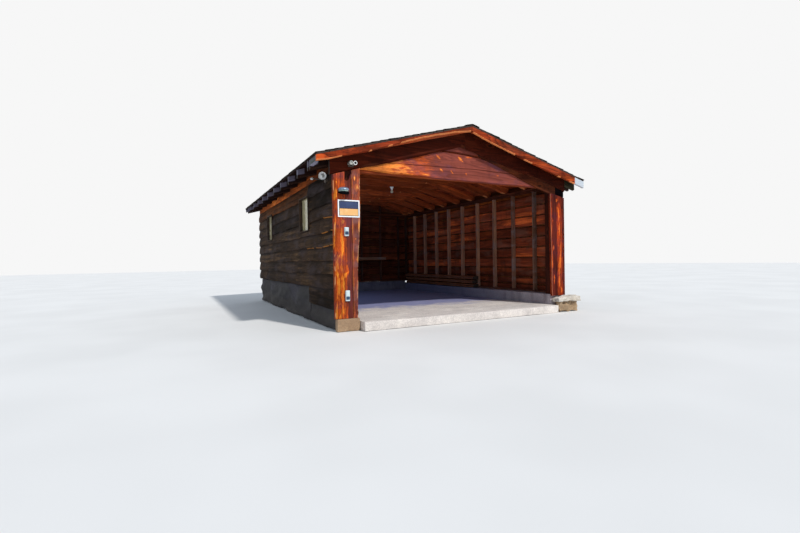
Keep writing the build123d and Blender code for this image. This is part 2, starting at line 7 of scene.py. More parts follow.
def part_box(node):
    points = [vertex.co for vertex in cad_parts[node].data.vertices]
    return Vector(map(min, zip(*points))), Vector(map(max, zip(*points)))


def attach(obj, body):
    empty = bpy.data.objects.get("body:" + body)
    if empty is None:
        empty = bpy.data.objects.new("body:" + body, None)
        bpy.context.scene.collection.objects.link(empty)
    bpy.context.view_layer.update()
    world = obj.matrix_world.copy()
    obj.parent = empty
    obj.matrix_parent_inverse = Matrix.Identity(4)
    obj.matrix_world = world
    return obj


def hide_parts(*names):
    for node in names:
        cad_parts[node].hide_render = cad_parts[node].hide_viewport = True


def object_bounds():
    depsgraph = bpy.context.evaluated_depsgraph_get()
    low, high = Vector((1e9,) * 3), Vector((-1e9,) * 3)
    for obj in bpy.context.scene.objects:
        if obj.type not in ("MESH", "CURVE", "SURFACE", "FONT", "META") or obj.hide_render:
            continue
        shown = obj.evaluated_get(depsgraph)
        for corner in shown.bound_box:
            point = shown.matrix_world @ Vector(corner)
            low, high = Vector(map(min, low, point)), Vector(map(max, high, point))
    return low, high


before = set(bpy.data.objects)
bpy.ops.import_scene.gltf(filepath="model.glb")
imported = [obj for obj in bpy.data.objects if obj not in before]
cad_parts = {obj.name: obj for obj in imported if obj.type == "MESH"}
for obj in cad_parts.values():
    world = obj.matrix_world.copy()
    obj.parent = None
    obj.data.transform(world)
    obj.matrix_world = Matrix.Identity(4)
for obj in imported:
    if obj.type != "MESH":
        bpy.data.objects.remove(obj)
cad_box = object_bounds()

# Sizes in metres, the larger ones read from the frame


def reach(node):
    """The six limits of a CAD node: x low, x high, y low, y high, z low, z high."""
    low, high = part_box(node)
    return low.x, high.x, low.y, high.y, low.z, high.z


def corners(node):
    """Corner points of a CAD node."""
    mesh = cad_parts[node].data
    points = np.zeros(len(mesh.vertices) * 3)
    mesh.vertices.foreach_get("co", points)
    return points.reshape(-1, 3)


plank_t = 0.05
shingle_v = 0.022
deck_v = 0.021
rafter_v = 0.146
rafter_w = 0.05
sawn_t = 0.038
course = 0.21
siding_top_t = 0.04
rafter_count = 10
rafter_gap = 0.6
stud_gap = 0.61
play = 0.0005
roof_front, roof_rear = cad_box[0].y, cad_box[1].y
roof_half, peak = cad_box[1].x, cad_box[1].z
deck_top = peak - shingle_v
deck_low = deck_top - deck_v
front = reach("post_left_outer")[2]
wall_front = front + plank_t
frame_front = wall_front + 0.129
first_rafter = front + 0.24
rafter_middle = front + 0.265
step_y = front + 1.35
rear = reach("siding_left")[3]
half = reach("siding_right")[1]
stud_out, wall_in = -reach("studs_left")[0], -reach("studs_left")[1]
siding_t = half - stud_out
pitch = (deck_top - reach("shingles_left")[4]) / roof_half
rafter_end = roof_half - 0.022
plate_top = reach("top_plates")[5]
plate_low = plate_top - 2 * sawn_t
frieze_bottom = reach("frieze_left")[4]
left_top = reach("kerb_left")[5]
kerb_top = reach("kerb_right")[5]
verge_end = reach("verge_board_right")[1]
windows = [reach("window_frame_front")[2:], reach("window_frame_rear")[2:]]
X, Y, Z = np.eye(3)


def under_deck(x):
    """Height of the underside of the roof boards at distance x from the ridge."""
    return deck_low - pitch * np.abs(x)


def lower_edge(node, sign=1):
    """Lower outline of a flat board's node: distances from the ridge in rising order and the lowest z at each."""
    points = corners(node)
    xs = np.unique(np.round(points[:, 0] * sign, 4))
    return xs, np.array([points[np.abs(points[:, 0] * sign - x) < 1e-3, 2].min() for x in xs])


def side_edge(node, right):
    """Right or left outline of an upright board: the heights of its corners on that side, and x at each."""
    points = corners(node)
    zs = np.unique(np.round(points[:, 2], 4))
    levels = [points[np.abs(points[:, 2] - z) < 1e-3, 0] for z in zs]
    xs = np.array([x.max() if right else x.min() for x in levels])
    deepest = 0.09
    keep = xs > xs.max() - deepest if right else xs < xs.min() + deepest
    return zs[keep], xs[keep]


# Smooth random numbers


def wander(s, size, step, seed):
    """Smooth random line: random heights every step metres, eased into each other, plus a finer half-size copy."""
    total = np.zeros_like(s, dtype=float)
    for octave in range(2):
        rng = np.random.default_rng(seed * 7 + octave)
        knots = rng.uniform(-1, 1, 4096)
        t = s / (step / (2.3**octave)) + 1000
        i = np.floor(t).astype(int)
        f = t - i
        f = f * f * (3 - 2 * f)
        total += (knots[i % 4096] * (1 - f) + knots[(i + 1) % 4096] * f) * 0.5**octave
    return size * total


def lumps(points, step, seed):
    """Smooth random height at 3-D points: random values on a lattice of cell size step, eased between its corners."""
    values = np.random.default_rng(seed).uniform(-1, 1, (32, 32, 32))
    t = points / step + 500
    i = np.floor(t).astype(int)
    f = t - i
    f = f * f * (3 - 2 * f)
    total = 0
    for corner in np.ndindex(2, 2, 2):
        weight = np.prod([f[..., a] if corner[a] else 1 - f[..., a] for a in range(3)], axis=0)
        total = total + weight * values[tuple((i[..., a] + corner[a]) % 32 for a in range(3))]
    return total


# Surfaces


def solid(points, faces, finish, tone=0.5, uv=None, rim=None, streak=None):
    """Part of a piece: quads with a finish and a tone, board coordinates, distance from a pale edge and streak.
    The faces are turned round where its signed volume, the sum of the tetrahedra to the origin, is negative."""
    points = points.reshape(-1, 3)
    uv = points[faces][:, :, :2] if uv is None else uv
    a, b, c, d = (points[faces[:, k]] for k in range(4))
    volume = np.einsum("ij,ij->", a, np.cross(b, c)) + np.einsum("ij,ij->", a, np.cross(c, d))
    turn = -1 if volume < 0 else 1
    return {
        "points": points,
        "faces": faces[:, ::turn],
        "uv": uv[:, ::turn],
        "rim": np.ones(len(points)) if rim is None else rim.reshape(-1),
        "streak": np.zeros(len(points)) if streak is None else streak.reshape(-1),
        "tone": np.broadcast_to(tone, len(faces)),
        "finish": finish if np.ndim(finish) else np.full(len(faces), finish),
    }


def side_quads(index):
    """Quads between neighbouring rows of a grid of point numbers whose rows are closed rings."""
    after = np.roll(index, -1, axis=1)
    return np.stack([index[:-1], after[:-1], after[1:], index[1:]], -1).reshape(-1, 4)


def end_quads(ring):
    """Quads that close a ring of point numbers, each between a pair from its start and the pair from its end."""
    j = np.arange((len(ring) - 1) // 2)
    return np.stack([ring[j], ring[-1 - j], ring[-2 - j], ring[j + 1]], -1)


def carried(place, s, across, out, rim, tone, seed, finish=(0, 0, 0), streak=None):
    """Closed solid made of one ring of section points (across, out) at each station s along a straight line.
    The first half of a ring is the front from low to high and the second half is the back from high to low,
    so ring point j lies over ring point -1-j and quads between such pairs close the two ends."""
    origin, along, over, off = place
    stations, ring = across.shape
    m = ring // 2
    points = origin + s[:, None, None] * along + across[..., None] * over + out[..., None] * off
    index = np.arange(stations * ring).reshape(stations, ring)
    shift = np.random.default_rng(seed).uniform(0, 40, 2)
    v = across + np.where(across > across.mean(axis=1, keepdims=True), -out, out)
    v[:, m:] = across[:, m:] + 1.3
    v_next = np.roll(v, -1, axis=1)
    v_next[:, m - 1] = v[:, m - 1] + 0.01
    v_next[:, -1] = v[:, -1] - 0.01
    u = np.broadcast_to(s[:, None], v.shape)
    quad = ((u[:-1], v[:-1]), (u[:-1], v_next[:-1]), (u[1:], v_next[1:]), (u[1:], v[1:]))
    faces = [side_quads(index)]
    uv = [np.stack([np.stack(corner, -1) for corner in quad], 2).reshape(-1, 4, 2) + shift]
    ends = end_quads(np.arange(ring))
    for row, turn in ((0, 1), (-1, -1)):
        faces.append(index[row][ends][:, ::turn])
        uv.append((np.stack([across[row], out[row]], -1) + shift[0])[ends][:, ::turn])
    kind = np.full((stations - 1, ring), finish[0])
    kind[:, m : ring - 1] = finish[1]
    kind = np.append(kind, np.full(2 * len(ends), finish[2]))
    return solid(points, np.concatenate(faces), kind, tone, np.concatenate(uv), rim, streak)


def plank(
    place, s, low, high, thick, seed, natural="", bevel=0.02, finish=(0, 0, 1), columns=6, rough=0.001, tone=None,
    colours=None, hide=None,
):
    """Board whose section at s runs from low(s) to high(s) and is thick deep behind its front face.
    A natural edge leans by bevel over its thickness along a quarter round, and a sawn one has a worn arris.
    colours gives the strength of the streak at each station and place across: light wood on the corner planks,
    light wood with painted sunlight on the gable planks, and painted shade on the frieze boards. hide gives the
    distance by which the pale edge is held back at each station."""
    s = np.asarray(s, float)
    low, high, thick = (np.broadcast_to(np.asarray(a, float), s.shape)[:, None] for a in (low, high, thick))
    arris = 0.003
    lean_low, lean_high = (
        arris + (wander(s, 0.35 * bevel, 0.3, seed + n) + bevel if edge in natural else 0 * s)[:, None]
        for n, edge in ((1, "low"), (2, "high"))
    )
    f = (1 - np.cos(np.linspace(0, math.pi, columns))) / 2
    inner_low, inner_high = low + lean_low, high - lean_high
    edge_a, edge_o = np.array([0.06, 0.32]), np.array([-0.8, -0.35])
    face = inner_low + f * (inner_high - inner_low)
    back = high - arris + np.linspace(0, 1, columns + 4) * (low - high + 2 * arris)
    across = np.concatenate([low + lean_low * edge_a, face, high - lean_high * edge_a[::-1], back], axis=1)
    out = np.concatenate([thick * edge_o, 0 * thick * f, thick * edge_o[::-1], 0 * back - thick], axis=1)
    grid = np.stack([np.broadcast_to(s[:, None], across.shape), across * 2.5, out], -1)
    out = out + rough * lumps(grid, 0.09, seed + 3)
    to_low = across - inner_low if "low" in natural else 1.0
    to_high = inner_high - across if "high" in natural else 1.0
    rim = np.minimum(to_low, to_high) + 0 * across
    if hide is not None:
        rim = rim + hide(s)[:, None]
    tone = np.random.default_rng(seed).uniform() if tone is None else tone
    streak = None if colours is None else colours(s[:, None] + 0 * across, across)
    return carried(place, s, across, out, rim, tone, seed, finish, streak)


def light_wood(lines, field):
    """Strength of light wood along listed lines of (height, place across, half width) points.
    It is 1 on a line and falls to 0 beyond its half width. field adds a broad share over the whole board."""

    def strength(s, across):
        total = field(s, across)
        for line in lines:
            z, centre, width = np.array(sorted(line)).T
            half_width = np.interp(s, z, width, left=0, right=0) + 1e-6
            distance = np.abs(across - np.interp(s, z, centre)) / half_width
            total = np.maximum(total, np.clip(1.35 - 0.7 * distance, 0, 1) * (half_width > 1e-5))
        return total

    return strength


def steps(start, end, gap=0.05):
    """Stations from start to end about gap apart."""
    return np.linspace(start, end, max(2, int(round(abs(end - start) / gap)) + 1))


def with_cuts(s, cuts):
    """Adds a close pair of stations at each place where an outline jumps."""
    return np.unique(np.append(s, [c + d for c in cuts for d in (-0.0004, 0.0004) if s[0] < c < s[-1]]))


def rough_block(low, high, step, radius, lump, seed, lump_step=0.12, stretch=1.0, finish=0):
    """Box with rounded arrises and an uneven skin: points of six face grids are pulled to the box shrunk by radius,
    pushed out again by radius along that pull, and moved along it by random lumps drawn out stretch times along Y."""
    low, high = np.array(low, float), np.array(high, float)
    size = high - low
    counts = np.maximum(2, np.round(size / step).astype(int) + 1)
    points, faces, total = [], [], 0
    for axis in range(3):
        a, b = [k for k in range(3) if k != axis]
        ga, gb = np.meshgrid(np.linspace(0, 1, counts[a]), np.linspace(0, 1, counts[b]), indexing="ij")
        for side in (0, 1):
            grid = np.zeros(ga.shape + (3,))
            grid[..., a], grid[..., b], grid[..., axis] = ga, gb, side
            index = np.arange(ga.size).reshape(ga.shape) + total
            quad = np.stack([index[:-1, :-1], index[1:, :-1], index[1:, 1:], index[:-1, 1:]], -1).reshape(-1, 4)
            faces.append(quad if (side == 1) == (axis != 1) else quad[:, ::-1])
            points.append(low + grid.reshape(-1, 3) * size)
            total += ga.size
    points, faces = np.concatenate(points), np.concatenate(faces)
    places = np.round(points * 1e5).astype(np.int64)
    _, first, back = np.unique(places, axis=0, return_index=True, return_inverse=True)
    points, faces = points[first], back.reshape(-1)[faces]
    radius = min(radius, size.min() / 2.01)
    core = np.clip(points, low + radius, high - radius)
    pull = points - core
    normal = pull / np.maximum(np.linalg.norm(pull, axis=1, keepdims=True), 1e-9)
    points = core + radius * normal
    drawn = points / np.array([1, stretch, 1])
    height = lumps(drawn, lump_step, seed) + 0.4 * lumps(drawn, lump_step / 2.7, seed + 1) - 0.5
    points = points + normal * (lump * height)[:, None]
    points[:, 2] = np.maximum(points[:, 2], low[2])
    return solid(points, faces, finish)


def turned(centre, axis, profile, finish=None, segments=40):
    """Closed turned shape: a profile of (distance along the axis, radius) pairs carried round the axis.
    Its first and last radius are nearly nothing, and a small quad closes each end."""
    right = np.cross(axis, Z if abs(axis[2]) < 0.9 else X)
    up = np.cross(right, axis)
    profile = np.array(profile, float)
    angle = np.linspace(0, 2 * math.pi, segments, endpoint=False)
    circle = np.cos(angle)[:, None] * right + np.sin(angle)[:, None] * up
    points = np.array(centre) + profile[:, :1, None] * axis + profile[:, 1:, None] * circle
    rows = len(profile)
    index = np.arange(rows * segments).reshape(rows, segments)
    caps = [end_quads(index[0]), end_quads(index[-1])[:, ::-1]]
    kind = np.repeat(np.zeros(rows - 1, int) if finish is None else finish, segments)
    kind = np.concatenate([kind, np.full(len(caps[0]), kind[0]), np.full(len(caps[1]), kind[-1])])
    return solid(points, np.concatenate([side_quads(index)] + caps), kind)


def make_piece(name, parts, materials, slot, *stands_for, sharp=32):
    """Joins parts into one mesh with its board coordinates, tone and edge distance, and rides it on the building."""
    offsets = np.cumsum([0] + [len(p["points"]) for p in parts[:-1]])
    points = np.concatenate([p["points"] for p in parts])
    faces = np.concatenate([p["faces"] + o for p, o in zip(parts, offsets)])
    mesh = bpy.data.meshes.new(name)
    mesh.vertices.add(len(points))
    mesh.vertices.foreach_set("co", points.astype(np.float32).ravel())
    mesh.loops.add(faces.size)
    mesh.loops.foreach_set("vertex_index", faces.astype(np.int32).ravel())
    mesh.polygons.add(len(faces))
    mesh.polygons.foreach_set("loop_start", np.arange(0, faces.size, 4, dtype=np.int32))
    mesh.polygons.foreach_set("material_index", np.concatenate([p["finish"] for p in parts]).astype(np.int32))
    mesh.update(calc_edges=True)
    uv = mesh.uv_layers.new(name="board")
    uv.data.foreach_set("uv", np.concatenate([p["uv"] for p in parts]).astype(np.float32).ravel())
    for key, domain in (("tone", "FACE"), ("rim", "POINT"), ("streak", "POINT")):
        values = np.concatenate([p[key] for p in parts]).astype(np.float32)
        mesh.attributes.new(key, "FLOAT", domain).data.foreach_set("value", values)
    mesh.shade_smooth()
    mesh.set_sharp_from_angle(angle=math.radians(sharp))
    piece = bpy.data.objects.new(name, mesh)
    bpy.context.scene.collection.objects.link(piece)
    for material in materials:
        mesh.materials.append(material)
    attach(piece, "root")
    if stands_for:
        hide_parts(*stands_for)
    return piece


# Material nodes


def tint(red, green, blue):
    """Colour given as it is seen on a screen, 0 to 255, turned into the shader's linear numbers."""
    c = np.array([red, green, blue]) / 255
    linear = np.where(c <= 0.04045, c / 12.92, ((c + 0.055) / 1.055) ** 2.4)
    return (*linear, 1.0)


class Wiring:
    """Adds nodes to one tree and joins them, so that each pattern reads as a formula."""

    def __init__(self, tree):
        self.tree = tree

    def add(self, kind, *values, **settings):
        node = self.tree.nodes.new(kind)
        for key, value in settings.items():
            setattr(node, key, value)
        for socket, value in zip(node.inputs, values):
            self.put(socket, value)
        return node

    def put(self, socket, value):
        if isinstance(value, bpy.types.NodeSocket):
            self.tree.links.new(value, socket)
        elif value is not None:
            socket.default_value = value

    def feed(self, node, **values):
        for key, value in values.items():
            self.put(node.inputs[key.replace("_", " ")], value)
        return node.outputs

    def math(self, operation, a, b=None):
        return self.add("ShaderNodeMath", a, b, operation=operation).outputs[0]

    def times(self, a, b):
        return self.math("MULTIPLY", a, b)

    def plus(self, a, b):
        return self.math("ADD", a, b)

    def minus(self, a, b):
        return self.math("SUBTRACT", a, b)

    def span(self, value, low, high, to_low=0.0, to_high=1.0):
        node = self.add("ShaderNodeMapRange", interpolation_type="SMOOTHSTEP")
        return self.feed(node, Value=value, From_Min=low, From_Max=high, To_Min=to_low, To_Max=to_high)[0]

    def scaled(self, vector, scale, offset=(0, 0, 0)):
        return self.add("ShaderNodeVectorMath", vector, scale, offset, operation="MULTIPLY_ADD").outputs[0]

    def noise(self, vector, scale, detail=2.0, rough=0.5, distortion=0.0):
        node = self.add("ShaderNodeTexNoise")
        return self.feed(node, Vector=vector, Scale=scale, Detail=detail, Roughness=rough, Distortion=distortion)[0]

    def drawn(self, vector, scale, detail=2.0, rough=0.5, distortion=0.0, offset=(0, 0, 0)):
        return self.noise(self.scaled(vector, scale, offset), 1.0, detail, rough, distortion)

    def cells(self, vector, scale):
        return self.feed(self.add("ShaderNodeTexVoronoi"), Vector=vector, Scale=scale)

    def lot(self, cells):
        """Random number of each cell."""
        return self.add("ShaderNodeSeparateColor", cells["Color"]).outputs[0]

    def axes(self, vector):
        return self.add("ShaderNodeSeparateXYZ", vector).outputs

    def blend(self, factor, a, b):
        node = self.add("ShaderNodeMix", data_type="RGBA")
        for socket, value in zip((0, 6, 7), (factor, a, b)):
            self.put(node.inputs[socket], value)
        return node.outputs[2]

    def stained(self, colour, mask, share, seen):
        return self.blend(self.times(mask, share), colour, tint(*seen))

    def bright(self, colour, value):
        return self.feed(self.add("ShaderNodeHueSaturation"), Color=colour, Value=value)[0]

    def attribute(self, name):
        return self.add("ShaderNodeAttribute", attribute_name=name).outputs["Fac"]

    def board(self):
        return self.add("ShaderNodeUVMap", uv_map="board").outputs[0]

    def group(self, tree, **values):
        return self.feed(self.add("ShaderNodeGroup", node_tree=tree), **values)

    def surface(self, colour, rough, height, strength, distance, **fixed):
        """Gives the shader its colour, roughness and relief, and its own numbers."""
        relief = self.feed(self.add("ShaderNodeBump"), Strength=strength, Distance=distance, Height=height)[0]
        self.feed(self.shader, Base_Color=colour, Roughness=rough, Normal=relief, **fixed)


def new_group(name, inputs, outputs):
    """Empty shader group with named inputs and outputs, and its wiring."""
    tree = bpy.data.node_groups.new(name, "ShaderNodeTree")
    for label, value in inputs.items():
        kind = "NodeSocketVector" if value is None else "NodeSocketFloat"
        socket = tree.interface.new_socket(label, in_out="INPUT", socket_type=kind)
        if value is not None:
            socket.default_value = value
    for label in outputs:
        tree.interface.new_socket(label, in_out="OUTPUT", socket_type="NodeSocketFloat")
    source = tree.nodes.new("NodeGroupInput").outputs
    target = tree.nodes.new("NodeGroupOutput")
    return tree, Wiring(tree), source, target


def wood_figure():
    """Group: growth lines, fibre, sapwood and knots on board coordinates in metres, u along and v across.
    Lines are contours of a stretched noise that bulges round the knots, as on a board sawn near the bark."""
    tree, w, source, target = new_group(
        "wood figure", {"Vector": None, "Lines": 12.0, "Knots": 0.4}, ("Lines", "Fibre", "Sap", "Knot", "Knot ring")
    )
    place = source["Vector"]
    cells = w.cells(w.scaled(place, (1.5, 4.2, 0)), 1.0)
    chosen = w.math("LESS_THAN", w.lot(cells), source["Knots"])
    distance = w.plus(cells["Distance"], w.times(w.minus(w.drawn(place, (14, 30, 0)), 0.5), 0.08))
    bulge = w.times(w.span(distance, 0.42, 0.0), w.times(chosen, 0.34))
    field = w.drawn(place, (0.55, 5.2, 0), 2.0, 0.42, 0.35)
    rings = w.math("FRACT", w.times(w.plus(field, bulge), source["Lines"]))
    w.feed(
        target, Lines=w.times(rings, rings), Fibre=w.drawn(place, (2.2, 130, 0), 3.0, 0.6),
        Sap=w.drawn(place, (0.42, 3.6, 7.0), 3.0, 0.55, 0.8, (3.1, 0, 0)),
        Knot=w.times(w.span(distance, 0.10, 0.07), chosen), Knot_ring=w.times(w.span(distance, 0.2, 0.1), chosen),
    )
    return tree


def weather_group():
    """Group: bleached and dark streaks in the air's reach, a stain that rises from the ground, and speckle."""
    tree, w, source, target = new_group(
        "weather", {"Vector": None, "Foot": 0.2, "Rise": 0.5}, ("Bleach", "Stain", "Foot", "Speckle")
    )
    place = source["Vector"]
    ragged = w.plus(w.axes(place)[2], w.times(w.noise(place, 7.0, 3.0, 0.6), -0.35))
    w.feed(
        target, Bleach=w.span(w.noise(w.scaled(place, (1.3, 1.3, 3.1)), 1.4, 4.0, 0.62, 0.4), 0.46, 0.68),
        Stain=w.span(w.noise(w.scaled(place, (2.6, 2.6, 0.8), (5, 9, 2)), 1.7, 3.0, 0.6), 0.5, 0.72),
        Foot=w.span(ragged, w.plus(source["Foot"], source["Rise"]), source["Foot"]),
        Speckle=w.noise(place, 90.0, 2.0, 0.7),
    )
    return tree


FIGURE = wood_figure()
WEATHER = weather_group()


def new_material(name):
    """Empty material with its wiring, which knows the shader, and the place of each point in the object."""
    material = bpy.data.materials.new(name)
    material.use_nodes = True
    w = Wiring(material.node_tree)
    w.shader = material.node_tree.nodes["Principled BSDF"]
    return material, w, w.add("ShaderNodeTexCoord").outputs["Object"]


def timber(
    name, heart, sap, dark, wane=(200, 120, 70), grey=(120, 115, 110), light=None, lines=9.0, line_depth=0.45,
    sappy=0.5, knots=0.35, bleach=0.25, stain=0.25, foot=0.0, rim=0.02, rim_share=1.0, spread=0.5, patches=0.2,
    rough=0.72, bump=0.25, bare_end=None, outdoors=None, tips=None, lap_shade=0.0, sheen=0.06, broken=1.7,
    arris=None,
):
    """Board finish. heart, sap, light, dark, wane and grey are seen colours, and sappy, knots, bleach, stain, foot,
    rim_share, lap_shade and patches are shares. light is the wood along placed streaks, and grey the bleached wood,
    also where a streak's strength is below nothing. wane is the edge near the bark, rim its width, and broken how
    many times in a metre it may come and go. arris keeps it to the corner: it ends this far down the side. bare_end
    is the x where paint ends, outdoors the distance from the ridge line beyond which the wood is dark with dirt and
    painted eave shade, and tips the one beyond which it is bleached. lap_shade is painted shade: it darkens a wall
    board where the next one hangs over it, and a frieze board between the rafters and at its front end."""
    material, w, place = new_material(name)
    board = w.board()
    figure = w.group(FIGURE, Vector=board, Lines=lines, Knots=knots)
    weather = w.group(WEATHER, Vector=place)
    if light:
        parted = w.span(w.drawn(board, (5, 22, 0), 3.0, 0.6, 0.0, (7, 3, 0)), 0.36, 0.58, 0.62, 1.12)
        frayed = w.times(w.minus(w.drawn(board, (10, 70, 0), 4.0, 0.65, 0.5), 0.5), 1.1)
        streak = w.plus(w.times(w.attribute("streak"), parted), frayed)
        colour = w.blend(w.span(streak, 0.1, 0.55), tint(*heart), tint(*sap))
        colour = w.blend(w.span(streak, -0.1, -0.45, 0, 0.92), colour, tint(*grey))
        flame = w.span(w.drawn(board, (26, 190, 0), 3.0, 0.6, 0.0, (4, 1, 0)), 0.36, 0.56, 0.25, 1.0)
        outline = w.times(w.span(streak, 0.4, 0.58), w.span(streak, 0.78, 0.62))
        colour = w.stained(colour, outline, 0.45, dark)
        colour = w.blend(w.times(w.span(streak, 0.62, 0.98), flame), colour, tint(*light))
    else:
        colour = w.stained(tint(*heart), w.span(figure["Sap"], 0.5, 0.62), sappy, sap)
    colour = w.stained(colour, figure["Lines"], line_depth, dark)
    fibre = w.span(figure["Fibre"], 0.3, 0.7, 0.72, 1.22)
    level = w.times(fibre, w.span(w.attribute("tone"), 0.0, 1.0, 1 - spread / 2, 1 + spread / 2))
    cloud = w.drawn(board, (0.9, 7.0, 0), 3.0, 0.6, 0.0, (9, 4, 0))
    colour = w.bright(colour, w.times(level, w.span(cloud, 0.3, 0.7, 1 - patches, 1 + patches)))
    colour = w.stained(colour, figure["Knot ring"], 0.6, sap)
    colour = w.stained(colour, figure["Knot"], 0.8, dark)
    colour = w.stained(colour, weather["Stain"], stain, dark)
    colour = w.stained(colour, weather["Bleach"], bleach, grey)
    if foot:
        colour = w.stained(colour, weather["Foot"], foot, dark)
    from_edge = w.attribute("rim")
    ragged = w.times(w.drawn(board, (9, 40, 0), 3.0, 0.6), rim * 1.6)
    edge = w.span(w.minus(from_edge, ragged), rim * 0.35, -rim * 0.75)
    patchy = w.drawn(board, (broken, broken, 0), offset=(2, 8, 0))
    some = w.span(patchy, 0.62 - 0.5 * rim_share, 0.7 - 0.5 * rim_share)
    if arris:
        some = w.times(some, w.span(from_edge, -1.6 * arris, -0.8 * arris))
    streaky = w.span(w.drawn(board, (5, 60, 0)), 0.3, 0.7, 0.7, 1.15)
    colour = w.blend(w.times(edge, w.times(some, 0.9)), colour, w.bright(tint(*wane), streaky))
    # Painted shade: where the next board hangs over, and on frieze boards between the rafters and at the front end
    if lap_shade:
        colour = w.stained(colour, w.attribute("streak"), lap_shade, dark)
    if bare_end is not None:
        bare = w.times(w.span(w.axes(place)[0], bare_end - 0.012, bare_end + 0.012), 0.93)
        colour = w.blend(bare, colour, w.bright(tint(196, 206, 214), fibre))
    # Beyond outdoors the wood turns dark: dirt, and painted shade of the eave's underside
    if outdoors is not None:
        x = w.math("ABSOLUTE", w.axes(place)[0])
        grime_and_eave_shade = w.bright(tint(28, 21, 21), fibre)
        colour = w.blend(w.span(x, outdoors - 0.03, outdoors + 0.03, 0, 0.96), colour, grime_and_eave_shade)
        if tips is not None:
            bleached = w.times(w.span(x, tips - 0.02, tips + 0.01, 0, 0.9), w.span(from_edge, 0.025, 0.045))
            colour = w.blend(bleached, colour, w.bright(tint(124, 118, 136), fibre))
    hollow = w.minus(w.plus(w.times(figure["Lines"], -0.35), figure["Fibre"]), figure["Knot"])
    dull = w.span(figure["Fibre"], 0.2, 0.8, rough - 0.1, rough + 0.12)
    w.surface(colour, dull, hollow, bump, 0.004, Specular_IOR_Level=sheen)
    return material


def end_grain(name, pale, dark, low_dark=False):
    """Sawn ends: arcs of growth round a far centre, with checks and weathered patches, darker at a bark edge."""
    material, w, place = new_material(name)
    board = w.board()
    bent = w.times(w.noise(board, 6.0, 2.0), 0.35)
    x, y = w.axes(board)[:2]
    rings = w.math("FRACT", w.times(w.plus(w.plus(x, w.times(y, 0.6)), bent), 60.0))
    speck = w.noise(place, 60.0, 4.0, 0.7)
    colour = w.stained(tint(*pale), rings, 0.5, dark)
    colour = w.bright(colour, w.span(speck, 0.3, 0.7, 0.7, 1.2))
    colour = w.bright(colour, w.span(w.attribute("tone"), 0, 1, 0.75, 1.2))
    if low_dark:
        colour = w.blend(w.span(w.attribute("rim"), 0.05, 0.025), colour, tint(30, 24, 24))
    w.surface(colour, w.span(speck, 0.2, 0.8, 0.7, 0.9), w.minus(speck, w.times(rings, 0.3)), 0.4, 0.003)
    return material


def mineral(
    name, base, pale, dark, pores=0.4, stain=0.4, trowel=0.0, bump=0.35, grit=1.0, soil=None, painted_blue_shade=None, drawn=1.0
):
    """Concrete or stone: clouds of pale and dark paste, grit, pores, and trowel sweeps where it was floated.
    soil is the colour splashed on its foot. painted_blue_shade is painted bluish shade: the y behind which it lies,
    the width of the change and its colour there. drawn is how much longer its patches are along Y than across."""
    material, w, place = new_material(name)
    place = w.scaled(place, (1, 1 / drawn, 1))
    weather = w.group(WEATHER, Vector=place, Foot=0.0, Rise=0.16)
    cloud = w.noise(place, 2.6, 5.0, 0.62, 0.3)
    colour = w.blend(w.span(cloud, 0.42, 0.7), tint(*base), tint(*pale))
    colour = w.stained(colour, weather["Stain"], stain, dark)
    colour = w.bright(colour, w.span(w.lot(w.cells(place, 70.0 / grit)), 0, 1, 0.88, 1.1))
    pit = w.times(w.span(w.cells(place, 24.0 / grit)["Distance"], 0.2, 0.08), pores)
    colour = w.stained(colour, pit, 0.7, dark)
    if trowel:
        sweep = w.noise(w.scaled(place, (1.0, 6.5, 1.0)), 1.6, 3.0, 0.55, 1.6)
        colour = w.bright(colour, w.span(sweep, 0.35, 0.65, 1 - trowel, 1 + trowel))
    if soil:
        colour = w.stained(colour, weather["Foot"], 0.75, soil)
    # Painted bluish shade behind a given y, where little light reaches
    if painted_blue_shade:
        middle, width, shade_tint = painted_blue_shade
        edge = w.plus(w.times(w.axes(place)[1], drawn), w.span(cloud, 0.3, 0.7, -0.3, 0.3))
        colour = w.blend(w.span(edge, middle - width, middle + width, 0, 0.85), colour, tint(*shade_tint))
    height = w.minus(w.plus(weather["Speckle"], w.noise(place, 22.0, 4.0, 0.6)), pit)
    w.surface(colour, w.span(cloud, 0.3, 0.7, 0.77, 0.93), height, bump, 0.006)
    return material


def coated(name, base, worn, dirt=(60, 55, 50), metal=0.0, rough=0.45, dirty=0.35, coat=0.0, sheen=0.5):
    """Painted metal or moulded plastic: faded patches, dirt that runs down, and fine orange-peel relief."""
    material, w, place = new_material(name)
    faded = w.span(w.noise(place, 9.0, 3.0, 0.6), 0.45, 0.7)
    runs = w.span(w.drawn(place, (34, 34, 5), 3.0, 0.6), 0.5, 0.75)
    speck = w.noise(place, 260.0, 2.0)
    colour = w.stained(w.stained(tint(*base), faded, 0.3, worn), runs, dirty, dirt)
    colour = w.bright(colour, w.span(speck, 0.2, 0.8, 0.93, 1.05))
    dull = w.span(runs, 0, 1, rough, rough + 0.25)
    w.surface(colour, dull, speck, 0.15, 0.001, Metallic=metal, Coat_Weight=coat, Specular_IOR_Level=sheen)
    return material


def shingle_finish(name, field, worn, moss):
    """Mineral felt tabs: dark granules, a lighter worn field, and each tab its own tone."""
    material, w, place = new_material(name)
    grain = w.lot(w.cells(place, 420.0))
    colour = w.blend(w.span(w.noise(place, 3.0, 4.0, 0.6), 0.4, 0.68), tint(*field), tint(*worn))
    colour = w.stained(colour, w.span(w.noise(place, 11.0, 4.0, 0.7), 0.62, 0.72), 0.4, moss)
    tone = w.span(w.attribute("tone"), 0, 1, 0.7, 1.25)
    colour = w.bright(colour, w.times(w.span(grain, 0, 1, 0.6, 1.4), tone))
    w.surface(colour, w.span(grain, 0, 1, 0.85, 0.97), grain, 0.5, 0.002, Specular_IOR_Level=0.1)
    return material


